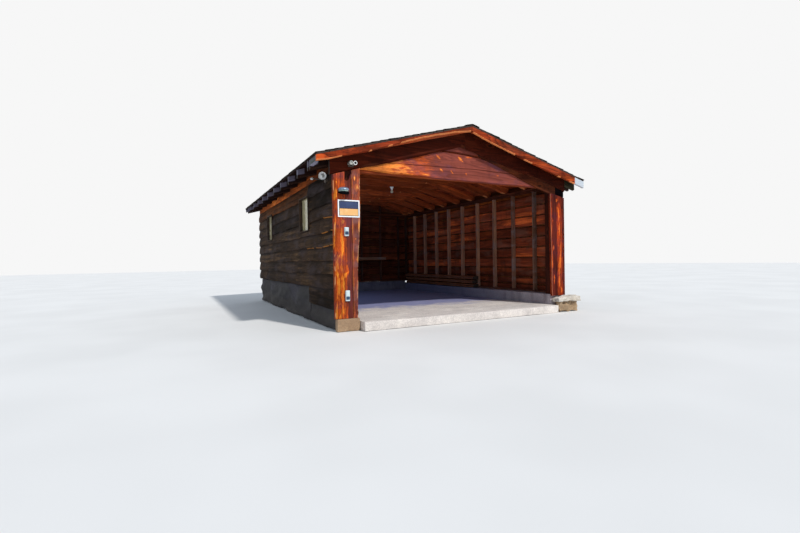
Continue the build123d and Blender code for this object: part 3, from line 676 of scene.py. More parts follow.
def pane_finish():
    """Old window glass: dusty patches over clear glass, in a cream colour that is partly a painted reflection of a
    sunlit hillside.
    """
    material, w, place = new_material("window_glass")
    dust_and_reflection = w.span(w.noise(place, 5.0, 4.0, 0.6), 0.4, 0.7, 0.25, 0.55)
    colour = w.blend(dust_and_reflection, tint(170, 160, 124), tint(212, 198, 158))
    dull = w.span(dust_and_reflection, 0.25, 0.55, 0.06, 0.3)
    w.feed(w.shader, Base_Color=colour, Roughness=dull, Transmission_Weight=0.15, IOR=1.45)
    return material


# Finishes of this building

siding_wood = timber(
    "weathered_siding", (52, 38, 28), (88, 66, 45), (14, 10, 7), wane=(190, 122, 58), grey=(76, 66, 68), lines=11.0,
    line_depth=0.55, sappy=0.7, bleach=0.5, stain=0.12, foot=0.5, rim=0.01, rim_share=0.5, spread=0.9, patches=0.6,
    bump=0.6, lap_shade=0.6, sheen=0.03, broken=7.0,
)
upper_siding_wood = timber(
    "upper_siding", (96, 58, 34), (150, 86, 42), (22, 13, 8), wane=(190, 122, 58), grey=(90, 66, 50), lines=11.0,
    line_depth=0.6, sappy=0.8, bleach=0.45, stain=0.35, rim=0.01, rim_share=0.5, spread=0.3, patches=0.6, bump=0.6,
    lap_shade=0.3, sheen=0.03, broken=7.0,
)
siding_inside = timber(
    "inside_of_siding", (150, 68, 40), (222, 104, 50), (50, 22, 16), wane=(60, 30, 20), grey=(134, 98, 80), sappy=0.7,
    bleach=0.4, stain=0.5, foot=0.7, rim=0.012, spread=0.9, patches=0.35,
)
inside_rear = timber(
    "inside_of_rear_siding", (104, 50, 32), (140, 70, 40), (36, 17, 13), wane=(50, 24, 18), grey=(84, 58, 48),
    bleach=0.4, stain=0.5, rim=0.012, patches=0.3,
)
post_wood = timber(
    "corner_planks", (116, 54, 42), (220, 92, 28), (54, 22, 22), wane=(224, 160, 112), grey=(86, 48, 78),
    light=(255, 158, 52), line_depth=0.6, knots=0.3, bleach=0.3, stain=0.35, foot=0.2, rim=0.006, rim_share=0.15,
    rough=0.62, spread=0.1, patches=0.35, sheen=0.04, broken=5.0, arris=0.004,
)
inner_post_wood = timber(
    "inner_corner_plank", (124, 62, 48), (200, 98, 54), (60, 28, 26), wane=(236, 180, 132), grey=(132, 96, 96),
    light=(252, 172, 84), line_depth=0.5, knots=0.3, bleach=0.5, stain=0.25, foot=0.2, rim=0.006, rim_share=0.3,
    rough=0.62, spread=0.1, patches=0.35, sheen=0.04, broken=9.0, arris=0.004,
)
right_post_wood = timber(
    "right_corner_plank", (92, 32, 22), (186, 66, 24), (38, 16, 18), wane=(196, 116, 88), grey=(46, 30, 62),
    light=(236, 120, 42), line_depth=0.65, bleach=0.2, stain=0.45, rim=0.005, rim_share=0.8, rough=0.62, spread=0.1,
    patches=0.35, sheen=0.04, broken=7.0, arris=0.004,
)
rake_wood = timber(
    "rake_boards", (140, 52, 24), (206, 88, 34), (50, 18, 12), wane=(250, 152, 92), grey=(150, 84, 58), lines=15.0,
    line_depth=0.8, sappy=0.6, knots=0.7, bleach=0.2, stain=0.55, rim=0.006, rim_share=0.8, rough=0.66, patches=0.5,
    bare_end=2.34, sheen=0.04, broken=5.0,
)
verge_wood = timber(
    "verge_boards", (76, 26, 14), (102, 42, 22), (24, 9, 7), wane=(84, 40, 24), grey=(58, 34, 28), lines=8.0,
    line_depth=0.5, sappy=0.6, knots=0.45, bleach=0.15, stain=0.4, rim=0.01, rim_share=0.15, rough=0.7, sheen=0.03,
)
lower_verge_wood = timber(
    "lower_verge_plank", (62, 25, 15), (108, 52, 27), (24, 10, 7), wane=(92, 44, 26), grey=(62, 40, 32), lines=8.0,
    line_depth=0.5, sappy=0.7, knots=0.45, bleach=0.3, stain=0.4, rim=0.01, rim_share=0.3, rough=0.7, sheen=0.03,
)
shaded_wood = timber(
    "shaded_corner", (24, 17, 20), (32, 22, 24), (12, 9, 10), wane=(26, 18, 18), grey=(26, 22, 26), lines=12.0,
    rim_share=0.1, sheen=0.0,
)
infill_wood = timber(
    "gable_planks", (138, 70, 58), (222, 98, 40), (58, 24, 28), wane=(150, 66, 40), grey=(104, 66, 84),
    light=(255, 152, 66), lines=8.0, line_depth=0.35, knots=0.45, bleach=0.5, stain=0.3, rim=0.012, rim_share=0.15,
    rough=0.6, spread=0.25, sheen=0.05,
)
stud_wood = timber(
    "framing_timber", (156, 112, 90), (184, 138, 106), (70, 52, 46), wane=(150, 96, 60), grey=(140, 130, 132),
    line_depth=0.3, sappy=0.4, knots=0.25, bleach=0.5, stain=0.3, rough=0.85, spread=0.8,
)
rear_stud_wood = timber(
    "rear_framing", (84, 54, 44), (104, 70, 54), (40, 24, 20), wane=(90, 50, 34), grey=(84, 68, 62), line_depth=0.35,
    sappy=0.4, knots=0.25, bleach=0.4, stain=0.3, rough=0.85,
)
rafter_wood = timber(
    "roof_timbers", (168, 78, 42), (224, 110, 52), (62, 27, 16), wane=(222, 138, 88), grey=(120, 80, 60),
    line_depth=0.4, bleach=0.2, stain=0.35, rim=0.014, rim_share=0.55, spread=0.6, outdoors=2.235, tips=2.455,
)
plate_wood = timber(
    "wall_plates", (98, 50, 34), (128, 68, 44), (44, 22, 16), wane=(120, 70, 44), grey=(70, 50, 42), line_depth=0.4,
    bleach=0.3, stain=0.4,
)
deck_wood = timber(
    "roof_boards", (146, 62, 34), (186, 82, 42), (48, 20, 14), wane=(170, 92, 50), grey=(104, 70, 54), line_depth=0.4,
    knots=0.4, bleach=0.2, stain=0.4, spread=0.6, outdoors=2.235,
)
frieze_wood = timber(
    "frieze_boards", (166, 82, 34), (222, 122, 52), (40, 18, 10), wane=(120, 58, 26), grey=(90, 58, 40),
    line_depth=0.5, sappy=0.7, knots=0.3, bleach=0.2, stain=0.4, rim=0.004, rim_share=0.1, spread=0.3, patches=0.5,
    sheen=0.04, lap_shade=0.85,
)
jamb_wood = timber(
    "corner_framing", (72, 32, 22), (96, 44, 28), (24, 12, 10), wane=(80, 40, 26), grey=(70, 46, 38), lines=8.0,
    line_depth=0.5, knots=0.3, bleach=0.2, stain=0.5, rim_share=0.1,
)
eave_block_wood = timber(
    "eave_corner_blocks", (84, 88, 82), (104, 106, 100), (46, 46, 44), wane=(150, 146, 166), grey=(140, 138, 154),
    lines=8.0, line_depth=0.5, bleach=0.5, stain=0.5, rim=0.012, patches=0.4,
)
eave_tail_wood = timber(
    "eave_tail", (56, 50, 34), (74, 64, 42), (26, 22, 16), wane=(60, 54, 38), grey=(80, 76, 62), lines=12.0,
    bleach=0.3, stain=0.5,
)
ledge_wood = timber(
    "stacked_timbers", (96, 58, 46), (130, 80, 58), (36, 21, 17), wane=(150, 92, 60), grey=(110, 88, 80), lines=8.0,
    line_depth=0.4, knots=0.3, bleach=0.4, stain=0.4,
)
tail_ends = end_grain("weathered_ends", (122, 120, 134), (66, 64, 74), low_dark=True)
fresh_ends = end_grain("sawn_ends", (196, 108, 60), (118, 54, 30))
dark_ends = end_grain("dark_ends", (54, 38, 30), (28, 19, 16))
# The slab's bluish darkening inside is painted shade
slab_finish = mineral(
    "floated_concrete", (206, 198, 192), (222, 214, 206), (150, 142, 138), pores=0.15, stain=0.25, trowel=0.07,
    bump=0.12, painted_blue_shade=(-1.75, 0.35, (112, 118, 166)),
)
# The kerb's bluish darkening towards the rear is painted shade
kerb_finish = mineral(
    "kerb_concrete", (166, 155, 160), (190, 180, 184), (96, 86, 92), pores=0.4, stain=0.5, bump=0.4,
    painted_blue_shade=(-0.9, 1.6, (88, 88, 118)),
)
# The rear kerb's bluish colour is painted shade
rear_kerb_finish = mineral(
    "rear_kerb_concrete", (102, 100, 116), (122, 120, 134), (62, 60, 72), pores=0.4, stain=0.5, bump=0.4,
)
mound_finish = mineral(
    "rough_foundation", (24, 23, 28), (58, 55, 64), (11, 10, 13), pores=0.5, stain=0.3, bump=0.7, grit=1.6,
    soil=(36, 31, 30), drawn=3.5,
)
block_finish = mineral("corner_block", (150, 122, 94), (176, 148, 118), (92, 74, 58), pores=0.4, stain=0.35, bump=0.5)
stone_finish = mineral(
    "field_stone", (190, 180, 166), (222, 216, 206), (124, 112, 98), pores=0.3, stain=0.4, bump=0.7, grit=2.0,
)
brown_stone = mineral(
    "brown_stone", (158, 132, 102), (192, 166, 134), (84, 68, 54), pores=0.3, stain=0.5, bump=0.8, grit=2.0,
)
felt = shingle_finish("felt_shingles", (58, 56, 52), (84, 82, 72), (104, 108, 78))
felt_edge = shingle_finish("felt_edges", (17, 13, 12), (30, 24, 20), (44, 42, 30))
glass = pane_finish()
lamp_grey = coated("lamp_grey", (112, 134, 158), (176, 192, 204), metal=0.2, rough=0.3)
lamp_dark = coated("lamp_dark", (5, 5, 7), (14, 14, 17), dirt=(10, 9, 9), rough=0.8, sheen=0.04)
lamp_bowl = coated("lamp_bowl", (142, 168, 164), (206, 214, 190), rough=0.12, coat=0.6, dirty=0.15)
pale_metal = coated("pale_metal", (170, 172, 166), (206, 206, 200), metal=0.2, rough=0.35)
dull_plate = coated("lamp_plate", (64, 52, 44), (90, 78, 66), rough=0.6)
white_enamel = coated("white_enamel", (242, 242, 240), (252, 252, 250), rough=0.3, dirty=0.06)
cover_pale = coated("cover_pale", (196, 212, 216), (226, 234, 234), rough=0.4, dirty=0.2)
cover_blue = coated("cover_recess", (22, 52, 84), (60, 100, 126), rough=0.35, dirty=0.2)
sign_white = coated("sign_rim", (236, 240, 244), (250, 250, 250), rough=0.35, dirty=0.08)
sign_blue = coated("sign_upper_band", (34, 52, 92), (60, 82, 122), rough=0.35, dirty=0.08)
sign_cream = coated("sign_lower_band", (232, 178, 112), (246, 216, 170), rough=0.35, dirty=0.1)
bulb_glass = coated("bulb_glass", (226, 214, 190), (246, 240, 226), rough=0.15, coat=0.5, dirty=0.1)

# Wall boards


def lap_out(c, low):
    """How far a lapped board stands out from the studs at height c: thick at its foot and thin at its head."""
    thick = [siding_t - 0.014, siding_t - 0.008, siding_t - 0.001, siding_t - 0.005, siding_top_t]
    return np.interp((c - low) / course, [-0.12, 0.0, 0.09, 0.45, 1.0], thick)


def lapped_board(place, start, end, low, high, seed, cuts=(), limits=None, bark=None, face=0):
    """One board of a wall: natural lower edge that hangs over the board below, flat back against the studs.
    cuts are places where limits, a function of s, narrows the board at a window. bark is the stretch of s where the
    lower edge shows light wood, or a random one. The streak attribute grows towards the head, under the next lap,
    where it is painted shade.
    face is the finish of the outer side."""
    s = with_cuts(steps(start, end), cuts)
    front_low = low - np.maximum(0.014 + wander(s, 0.013, 0.5, seed), 0.002)
    back_low = low + 0.003 + np.abs(wander(s, 0.004, 0.5, seed + 5))
    back_high, front_high = high - 0.001 + 0 * s, high + 0.006 + 0 * s
    if limits is not None:
        floor, roof = limits(s)
        front_low, back_low = np.maximum(front_low, floor), np.maximum(back_low, floor)
        front_high, back_high = np.minimum(front_high, roof), np.minimum(back_high, roof)

    def uneven(across, step, seed):
        return lumps(np.stack([s[:, None] + 0 * across, across * 3, 0 * across], -1), step, seed)

    f = np.append([0, 0.03], np.linspace(0.1, 1, 7))
    front_a = front_low[:, None] + f * (front_high - front_low)[:, None]
    front_o = lap_out(front_a, low)
    front_o[:, 0] -= 0.012
    front_o = front_o + 0.003 * (uneven(front_a, 0.16, seed + 6) - 0.6)
    g = np.array([0, 0.035, 0.09, 0.17, 0.5, 0.83, 0.91, 0.965, 1])
    back_a = back_high[:, None] + g * (back_low - back_high)[:, None]
    groove = 0.016 * np.clip(1 - np.minimum(g, 1 - g) / 0.13, 0, 1) ** 2
    back_o = play + groove * (1 + 0.4 * uneven(back_a, 0.2, seed + 7))
    back_o = back_o + 0.003 * np.abs(uneven(back_a, 0.15, seed + 8))
    rng = np.random.default_rng(seed)
    tone = rng.uniform()
    if bark is None:
        first = rng.uniform(start, end)
        bark = (first, first + rng.uniform(-0.6, 0.8))
    away = np.where((s > bark[0]) & (s < bark[1]), 0.0, 0.05)[:, None]
    rim_back = np.minimum(back_a - back_a[:, -1:], back_a[:, :1] - back_a)
    rim = np.append(front_a - front_a[:, :1] + away, rim_back, axis=1) - 0.004
    streak = np.append(np.clip((f - 0.68) / 0.22, 0, 1) + 0 * front_a, 0 * back_a, axis=1)
    across, out = np.append(front_a, back_a, axis=1), np.append(front_o, back_o, axis=1)
    return carried(place, s, across, out, rim, tone, seed, (face, 1, 2), streak)


def left_wall_boards():
    """Courses of the left wall, cut at the windows, and two short lower courses before the foundation steps up."""
    place = ((-stud_out, 0, 0), Y, Z, -X)
    parts = []
    joints = [2.05, -0.6, 1.2, -1.55, 0.4, 2.3, -0.25, -1.75]
    # Pale lower edges near the front of three courses: light wood placed as a painted highlight
    marks = {3: (wall_front, -1.62), 4: (wall_front, -2.45), 5: (wall_front, -2.57)}
    top_course = 7
    for k, joint in enumerate(joints):
        low = left_top + course * k
        high = low + course
        crossed = [w for w in windows if w[2] < high - 0.001 and w[3] > low + 0.001]
        whole = [w for w in crossed if w[2] <= low + 0.02 and w[3] >= high - 0.02]
        cuts = [e for w in crossed for e in w[:2]]
        joined = [joint] if k == top_course or not crossed else []
        ends = [wall_front] + (cuts if whole else joined) + [rear]

        def limits(s, crossed=crossed, low=low):
            floor, roof = np.full_like(s, -9), np.full_like(s, 9)
            for y0, y1, z0, z1 in crossed:
                inside = (s > y0) & (s < y1)
                if z0 > low:
                    roof = np.where(inside, z0, roof)
                else:
                    floor = np.where(inside, z1, floor)
            return floor, roof

        for n, (a, b) in enumerate(zip(ends[::2], ends[1::2]) if whole else zip(ends[:-1], ends[1:])):
            seed = 100 + 7 * k + n
            bark = marks.get(k, (9, 9)) if n == 0 else (9, 9)
            if whole:
                parts.append(lapped_board(place, a, b, low, high, seed, bark=bark))
            else:
                face = 3 if k == top_course and n == 1 else 0
                parts.append(lapped_board(place, a + 0.001, b - 0.001, low, high, seed, cuts, limits, bark, face))
    lower = (left_top - kerb_top) / 2
    for k in range(2):
        low = kerb_top + lower * k
        parts.append(lapped_board(place, wall_front, step_y - 0.001, low, low + lower, 180 + k))
    return parts


def right_wall_boards():
    """Courses of the right wall, each of two boards that meet on a stud."""
    place = ((stud_out, 0, 0), Y, Z, X)
    lows = [kerb_top, kerb_top + 0.14] + [kerb_top + 0.28 + course * k for k in range(8)]
    highs = lows[1:] + [frieze_bottom]
    joints = [0.65, -1.2, 1.85, 0.03, -1.8, 1.25, -0.55, 2.4, 0.65, -1.2]
    return [
        lapped_board(place, a + 0.001, b - 0.001, low, high, 220 + 5 * k + n)
        for k, (low, high, joint) in enumerate(zip(lows, highs, joints))
        for n, (a, b) in enumerate(((wall_front, joint), (joint, rear)))
    ]


def rear_wall_boards():
    """Courses of the rear wall up into the gable, each cut to the slope of the roof."""
    wall_low = reach("siding_rear")[4]
    place = ((0, rear - siding_t, 0), X, Z, Y)
    parts = []

    def limits(s):
        return np.full_like(s, -9), under_deck(s) - 0.001

    for k in range(13):
        low = wall_low + course * k
        side = min(stud_out, (deck_low - low) / pitch - 0.05)
        if side < 0.1:
            continue
        joint = [0.61, -0.61, 0.0, 1.22, -1.22][k % 5]
        ends = [-side, joint, side] if abs(joint) < side - 0.3 else [-side, side]
        high = low + course if side == stud_out or k < 12 else peak
        for n, (a, b) in enumerate(zip(ends[:-1], ends[1:])):
            parts.append(lapped_board(place, a + 0.001, b - 0.001, low, high, 300 + 5 * k + n, (0,), limits))
    return parts


siding_finish = [siding_wood, siding_inside, dark_ends, upper_siding_wood]
rear_finish = [siding_wood, inside_rear, dark_ends]
make_piece("left_wall_boards", left_wall_boards(), siding_finish, "siding_timber", "siding_left")
make_piece("right_wall_boards", right_wall_boards(), siding_finish, "siding_timber", "siding_right")
make_piece("rear_wall_boards", rear_wall_boards(), rear_finish, "siding_timber", "siding_rear")

# Frame of the walls


def stud(x0, x1, y0, y1, z0, z1, seed, along="y", tone=None):
    """Upright timber with a slight bow. Its broad face looks along the long walls, and across the rear wall."""
    s = steps(z0, z1, 0.12)
    bow = wander(s, 0.002, 1.2, seed)
    if along == "y":
        place, width, thick = ((x1, y0, 0), Z, Y, X), y1 - y0, x1 - x0
    else:
        place, width, thick = ((x0, y0, 0), Z, X, -Y), x1 - x0, y1 - y0
    return plank(place, s, bow, bow + width, thick, seed, columns=4, rough=0.0008, tone=tone)


def beam(x0, x1, y0, y1, z0, z1, seed, natural="", bevel=0.012):
    """Level timber along its longer side in plan, with its face to the outside of the building."""
    if y1 - y0 > x1 - x0:
        right = x0 + x1 > 0
        place = ((x1 if right else x0, 0, z0), Y, Z, X if right else -X)
        s, thick = steps(y0, y1, 0.08), x1 - x0
    else:
        place = ((0, y0, z0), X, Z, -Y)
        s, thick = steps(x0, x1, 0.08), y1 - y0
    sag = wander(s, 0.0015, 0.8, seed)
    return plank(place, s, sag, sag + z1 - z0, thick, seed, natural, bevel, columns=5)


def wall_frame():
    """Studs and window rails of the three closed walls, each as its own timber. Right studs get paler rearwards:
    painted light for the deep end of the room.
    """
    left, right, back = [], [], []
    for k in range(9):
        y0 = front + 0.02 + stud_gap * (k + 1)
        y1 = y0 + sawn_t
        foot = (kerb_top if y1 < step_y else left_top) + sawn_t
        left.append(stud(-stud_out, -wall_in, y0, y1, foot, plate_low, 400 + k))
        # Tone rising rearwards is painted light on the deeper studs
        right.append(stud(wall_in, stud_out, y0, y1, kerb_top + sawn_t, plate_low, 420 + k, tone=min(1, 0.3 * k)))
    for k, (y0, y1, z0, z1) in enumerate(windows):
        left.append(beam(-stud_out, -wall_in, y0, y1, z0 - sawn_t, z0, 440 + k))
        left.append(beam(-stud_out, -wall_in, y0, y1, z1, z1 + sawn_t, 442 + k))
    inner, face, foot = reach("studs_rear")[2:5]
    side = sawn_t / 2
    for k in range(-3, 4):
        x = stud_gap * k
        back.append(stud(x - side, x + side, inner, face, foot, plate_low, 450 + k, "x"))
    back.append(stud(wall_in - sawn_t, wall_in, inner, face, foot, plate_low, 460, "x"))
    back.append(stud(-wall_in, -wall_in + sawn_t, inner, face, left_top, plate_low, 461, "x"))
    for k, x in enumerate((-2 * stud_gap, -stud_gap, stud_gap, 2 * stud_gap)):
        top = under_deck(abs(x) + side)
        back.append(stud(x - side, x + side, inner, face - 0.05, plate_top, top, 465 + k, "x"))
    return left, right, back


def plates_and_sills():
    """Doubled top plates and single sills round the closed walls."""
    y1 = reach("top_plates")[3]
    inner = reach("studs_rear")[2]
    plates, sills = [], []
    for layer in range(2):
        z0 = plate_low + sawn_t * layer
        z1 = z0 + sawn_t
        plates.append(beam(-stud_out, -wall_in, frame_front, y1, z0, z1, 480 + layer))
        plates.append(beam(wall_in, stud_out, frame_front, y1, z0, z1, 484 + layer))
        plates.append(beam(-wall_in, wall_in, inner, y1, z0, z1, 488 + layer))
    rear_left, rear_top = reach("kerb_rear")[0], reach("kerb_rear")[5]
    for n, (x0, x1, y0, y1, z0) in enumerate((
        (-stud_out, -wall_in, frame_front, step_y, kerb_top), (-stud_out, -wall_in, step_y, y1, left_top),
        (wall_in, stud_out, frame_front, y1, kerb_top), (rear_left, wall_in, inner, y1, rear_top),
    )):
        sills.append(beam(x0, x1, y0, y1, z0, z0 + sawn_t, 492 + n))
    return plates, sills


left_studs, right_studs, rear_studs = wall_frame()
top_plates, sills = plates_and_sills()
framing = [stud_wood, dark_ends]
make_piece("left_wall_studs", left_studs, framing, "framing_timber", "studs_left")
make_piece("right_wall_studs", right_studs, framing, "framing_timber", "studs_right")
make_piece("rear_wall_studs", rear_studs, [rear_stud_wood, dark_ends], "framing_timber", "studs_rear")
make_piece("wall_head_plates", top_plates, [plate_wood, dark_ends], "framing_timber", "top_plates")
make_piece("wall_foot_plates", sills, [ledge_wood, dark_ends], "framing_timber", "sill_plates")

# Roof timbers


def shown(*ranges):
    """Holds a pale edge back outside the given ranges of s, but not outdoors where tails weather evenly."""

    def hide(s):
        inside = np.any([(s > a) & (s < b) for a, b in ranges], axis=0)
        return np.where(inside | (s > stud_out), 0.0, 0.04)

    return hide


def sloping(side, y):
    """Place of a timber in the sheared frame of the roof: along runs down from the ridge, across straight up."""
    return (0, y, deck_low), (side, 0, -pitch), Z, -Y


def rafter(side, y0, seed, notched=True):
    """Rafter whose s is the distance from the ridge and whose heights hang from its top face.
    Its lower edge is natural, and it is cut square over the wall plate."""
    seat = (deck_low - rafter_v - plate_top) / pitch
    s = with_cuts(steps(0.02, rafter_end, 0.045), (seat, stud_out) if notched else ())
    depth = rafter_v + wander(s, 0.012, 0.35, seed)
    depth = np.where(s > stud_out, np.minimum(depth, rafter_v - 0.008), depth)
    if notched:
        depth = np.where((s > seat) & (s < stud_out), deck_low - pitch * s - plate_top, depth)
    hide = shown((1.97, 2.11))
    return plank(sloping(side, y0), s, -depth, -0.0003, rafter_w, seed, "low", 0.012, columns=5, hide=hide)


def roof_frame():
    """Rafter pairs and their collar ties."""
    ys = [first_rafter + rafter_gap * k for k in range(rafter_count)]
    sides = []
    for side, base in ((-1, 520), (1, 560)):
        group = [rafter(side, y, base + k) for k, y in enumerate(ys)]
        group.append(rafter(side, frame_front - rafter_w, base + 20, notched=False))
        group.append(rafter(side, rear - siding_t - rafter_w, base + 21))
        sides.append(group)
    x0, x1, y0, y1, tie_low, tie_high = reach("collar_ties")
    ties = []
    for k, y in enumerate(ys):
        s = steps(x0, x1, 0.045)
        low = wander(s, 0.011, 0.4, 600 + k)
        place = ((0, y + rafter_w, tie_low), X, Z, -Y)
        hide = shown((0.5, 0.56))
        ties.append(plank(place, s, low, tie_high - tie_low, sawn_t, 600 + k, "low", 0.012, columns=5, hide=hide))
    return *sides, ties


left_rafters, right_rafters, ties = roof_frame()
ridge = beam(*reach("ridge_board"), 640)
make_piece("left_rafters", left_rafters, [rafter_wood, tail_ends], "framing_timber", "rafters_left")
make_piece("right_rafters", right_rafters, [rafter_wood, tail_ends], "framing_timber", "rafters_right")
make_piece("ties", ties, [rafter_wood, fresh_ends], "framing_timber", "collar_ties")
make_piece("ridge_timber", [ridge], [rafter_wood, fresh_ends], "framing_timber", "ridge_board")


def roof_boards(node, side):
    """Boards nailed over the rafters from eave to ridge, in the sheared frame, with small uneven gaps."""
    x0, x1, y0, y1, z0, z1 = reach(node)
    place = ((0, 0, deck_top), Y, (side, 0, -pitch), Z)
    parts = []
    edges = np.linspace(0.001, max(abs(x0), abs(x1)), 15)
    rng = np.random.default_rng(700 + side)
    for k, (a, b) in enumerate(zip(edges[:-1], edges[1:])):
        joint = rafter_middle + rafter_gap * rng.integers(2, 8)
        for n, (p, q) in enumerate(((y0, joint), (joint, y1))):
            s = steps(p + 0.001, q - 0.001, 0.1)
            wave = wander(s, 0.002, 0.5, 700 + 3 * k + n)
            seed = 740 + 30 * side + 2 * k + n
            parts.append(plank(place, s, a + 0.003 + wave, b - 0.003 + wave * 0.5, deck_v, seed, columns=4))
    return parts


for word, side in (("left", -1), ("right", 1)):
    node = "roof_deck_" + word
    make_piece(word + "_roof_boards", roof_boards(node, side), [deck_wood, dark_ends], "roof_boards", node)


def shingle_tabs(side, exposure=0.14, tab=0.305, slot_gap=0.007):
    """Three-tab felt: each tab is a wedge, thick at its lower edge, laid in courses that shift by half a tab.
    Tabs are computed as one array of rings of four points at four stations along Y."""
    rng = np.random.default_rng(800 + side)
    flat = math.sqrt(1 + pitch**2)
    rows = []
    for k in range(int(math.ceil(roof_half * flat / exposure))):
        butt = roof_half - k * exposure / flat
        head = max(butt - (exposure + 0.03) / flat, 0.0)
        starts = np.arange(roof_front - (0.5 * tab if k % 2 else 0.0), roof_rear, tab)
        lows = np.clip(starts + slot_gap / 2, roof_front, roof_rear)
        highs = np.clip(starts + tab - slot_gap / 2, roof_front, roof_rear)
        lows = np.where(starts <= roof_front, roof_front + rng.uniform(0, 0.022, len(starts)), lows)
        highs = np.where(starts + tab >= roof_rear, roof_rear - rng.uniform(0, 0.022, len(starts)), highs)
        keep = highs - lows > 0.03
        rows += [(butt, head, a, b) for a, b in zip(lows[keep], highs[keep])]
    butt, head, low, high = np.array(rows).T[..., None]
    n = len(butt)
    y = low + np.linspace(0, 1, 4) * (high - low)
    pull = rng.uniform(0, 0.006, (n, 1)) + rng.uniform(0, 0.002, (n, 4))
    x_butt = np.minimum(butt - pull, roof_half)
    lift = 0.0155 + rng.uniform(-0.005, 0.0045, (n, 4)) * (rng.uniform(size=(n, 1)) < 0.6)
    x_ring = np.stack([x_butt, x_butt, 0 * x_butt + head, 0 * x_butt + head], -1)
    rise = np.stack([0 * lift, lift, 0 * lift + 0.008, 0 * lift], -1)
    points = np.stack([side * x_ring, y[..., None] + 0 * x_ring, deck_top - pitch * x_ring + rise], -1)
    index = np.arange(n * 16).reshape(n, 4, 4)
    after = np.roll(index, -1, axis=2)
    around = np.stack([index[:, :-1], after[:, :-1], after[:, 1:], index[:, 1:]], -1).reshape(n, -1, 4)
    ends = np.stack([index[:, 0, ::-1], index[:, 3]], 1)
    faces = np.concatenate([around, ends], axis=1).reshape(-1, 4)
    return solid(points, faces, np.tile([1, 0, 0, 0] * 3 + [1, 1], n), np.repeat(rng.uniform(size=n), 14))


def ridge_caps(exposure=0.14, reach_down=0.14):
    """Folded caps along the ridge: a bent strip section carried along Y, each cap lifted at its lapping end."""
    count = int((roof_rear - roof_front) / exposure)
    length = (roof_rear - roof_front) / count
    xs = np.array([-reach_down, -reach_down * 0.5, -0.02, 0.0, 0.02, reach_down * 0.5, reach_down])
    fold = -pitch * np.abs(xs) - 0.004 * np.exp(-((xs / 0.03) ** 2))
    upper = peak - 0.0045 + fold + np.linspace(0.0035, 0.0, 3)[:, None]
    out = np.append(upper, upper[:, ::-1] - 0.003, axis=1)
    across = np.append(xs, xs[::-1]) + 0 * out
    rng = np.random.default_rng(850)
    caps = []
    for k in range(count):
        y0 = roof_front + length * k
        s = np.linspace(y0, min(y0 + length + 0.03, roof_rear), 3)
        place = ((0, 0, 0), Y, X, Z)
        caps.append(carried(place, s, across, out, np.ones_like(out), rng.uniform(), 860 + k, (0, 0, 1)))
    return caps


make_piece("left_shingles", [shingle_tabs(-1)], [felt, felt_edge], "shingle", "shingles_left")
make_piece("right_shingles", [shingle_tabs(1)] + ridge_caps(), [felt, felt_edge], "shingle", "shingles_right")

# Gable front


def smooth_line(xs, zs, at, seed, size=0.004):
    """Hand-cut or bark edge through the given points, with a small smooth wander of its own."""
    return np.interp(at, xs, zs) + wander(at, size, 0.22, seed)


def sloped_board(
    node, sign, seed, bevel, y=None, thick=None, start=0.0, end=None, low_line=None, tone=None, finish=0, hide=None
):
    """Board of the gable in its node's place: top along the roof boards, lower edge along the node's outline."""
    x0, x1, y0, y1, z0, z1 = reach(node)
    xs, zs = lower_edge(node, sign)
    xs, zs = xs[xs >= -1e-6], zs[xs >= -1e-6]
    s = steps(start, xs[-1] if end is None else end, 0.03)
    low = smooth_line(xs, zs, s, seed) if low_line is None else low_line(s)
    place = ((0, y0 if y is None else y, 0), X * sign, Z, -Y)
    thick = y1 - y0 if thick is None else thick
    kinds = (finish, finish, 1)
    return plank(place, s, low, under_deck(s) - play, thick, seed, "low", bevel, kinds, 8, 0.0015, tone, hide=hide)


rakes = [
    sloped_board("rake_board_left", -1, 900, 0.012, tone=0.5, hide=shown((0.0, 1.3), (1.42, 1.5), (1.75, 1.8))),
    sloped_board("rake_board_right", 1, 901, 0.004, tone=0.6, hide=shown((0.0, 0.9), (1.1, 1.3), (1.9, 2.0))),
]
make_piece("rake_planks", rakes, [rake_wood, fresh_ends], "stained_plank", "rake_board_left", "rake_board_right")

upper_seam_x = [0.0, 0.421, 0.619, 1.178, 1.804, 2.088, 2.33]
upper_seam_z = [2.828, 2.71, 2.674, 2.532, 2.395, 2.31, 2.24]


def upper_verge(s):
    """Lower edge of the front one of the two planks that make the right verge board."""
    return smooth_line(upper_seam_x, upper_seam_z, s, 912, 0.006)


right_verge = "verge_board_right"
verges = [
    sloped_board("verge_board_left", -1, 910, 0.026, tone=0.5),
    sloped_board(right_verge, 1, 911, 0.008, thick=0.024, low_line=upper_verge, tone=0.35),
    sloped_board(right_verge, 1, 913, 0.008, front + 0.0245, 0.0255, start=0.3, end=2.07, tone=0.8, finish=2),
    # The last plank is near black: painted shade in the gap behind the verge's end
    sloped_board(right_verge, 1, 914, 0.003, front + 0.03, 0.02, start=2.0705, tone=0.1, finish=3),
]
verge_finishes = [verge_wood, dark_ends, lower_verge_wood, shaded_wood]
make_piece("verge_planks", verges, verge_finishes, "dark_timber", "verge_board_left", "verge_board_right")

# Seams of the set-back gable planks, distances from the middle and heights
middle_seam = [-2.21, -1.185, -0.649, 0.236, 0.775, 2.21], [2.46, 2.476, 2.49, 2.512, 2.5, 2.49]
upper_seam = [-1.6, -0.4, 0.035, 0.494, 1.6], [2.8, 2.757, 2.742, 2.702, 2.6]

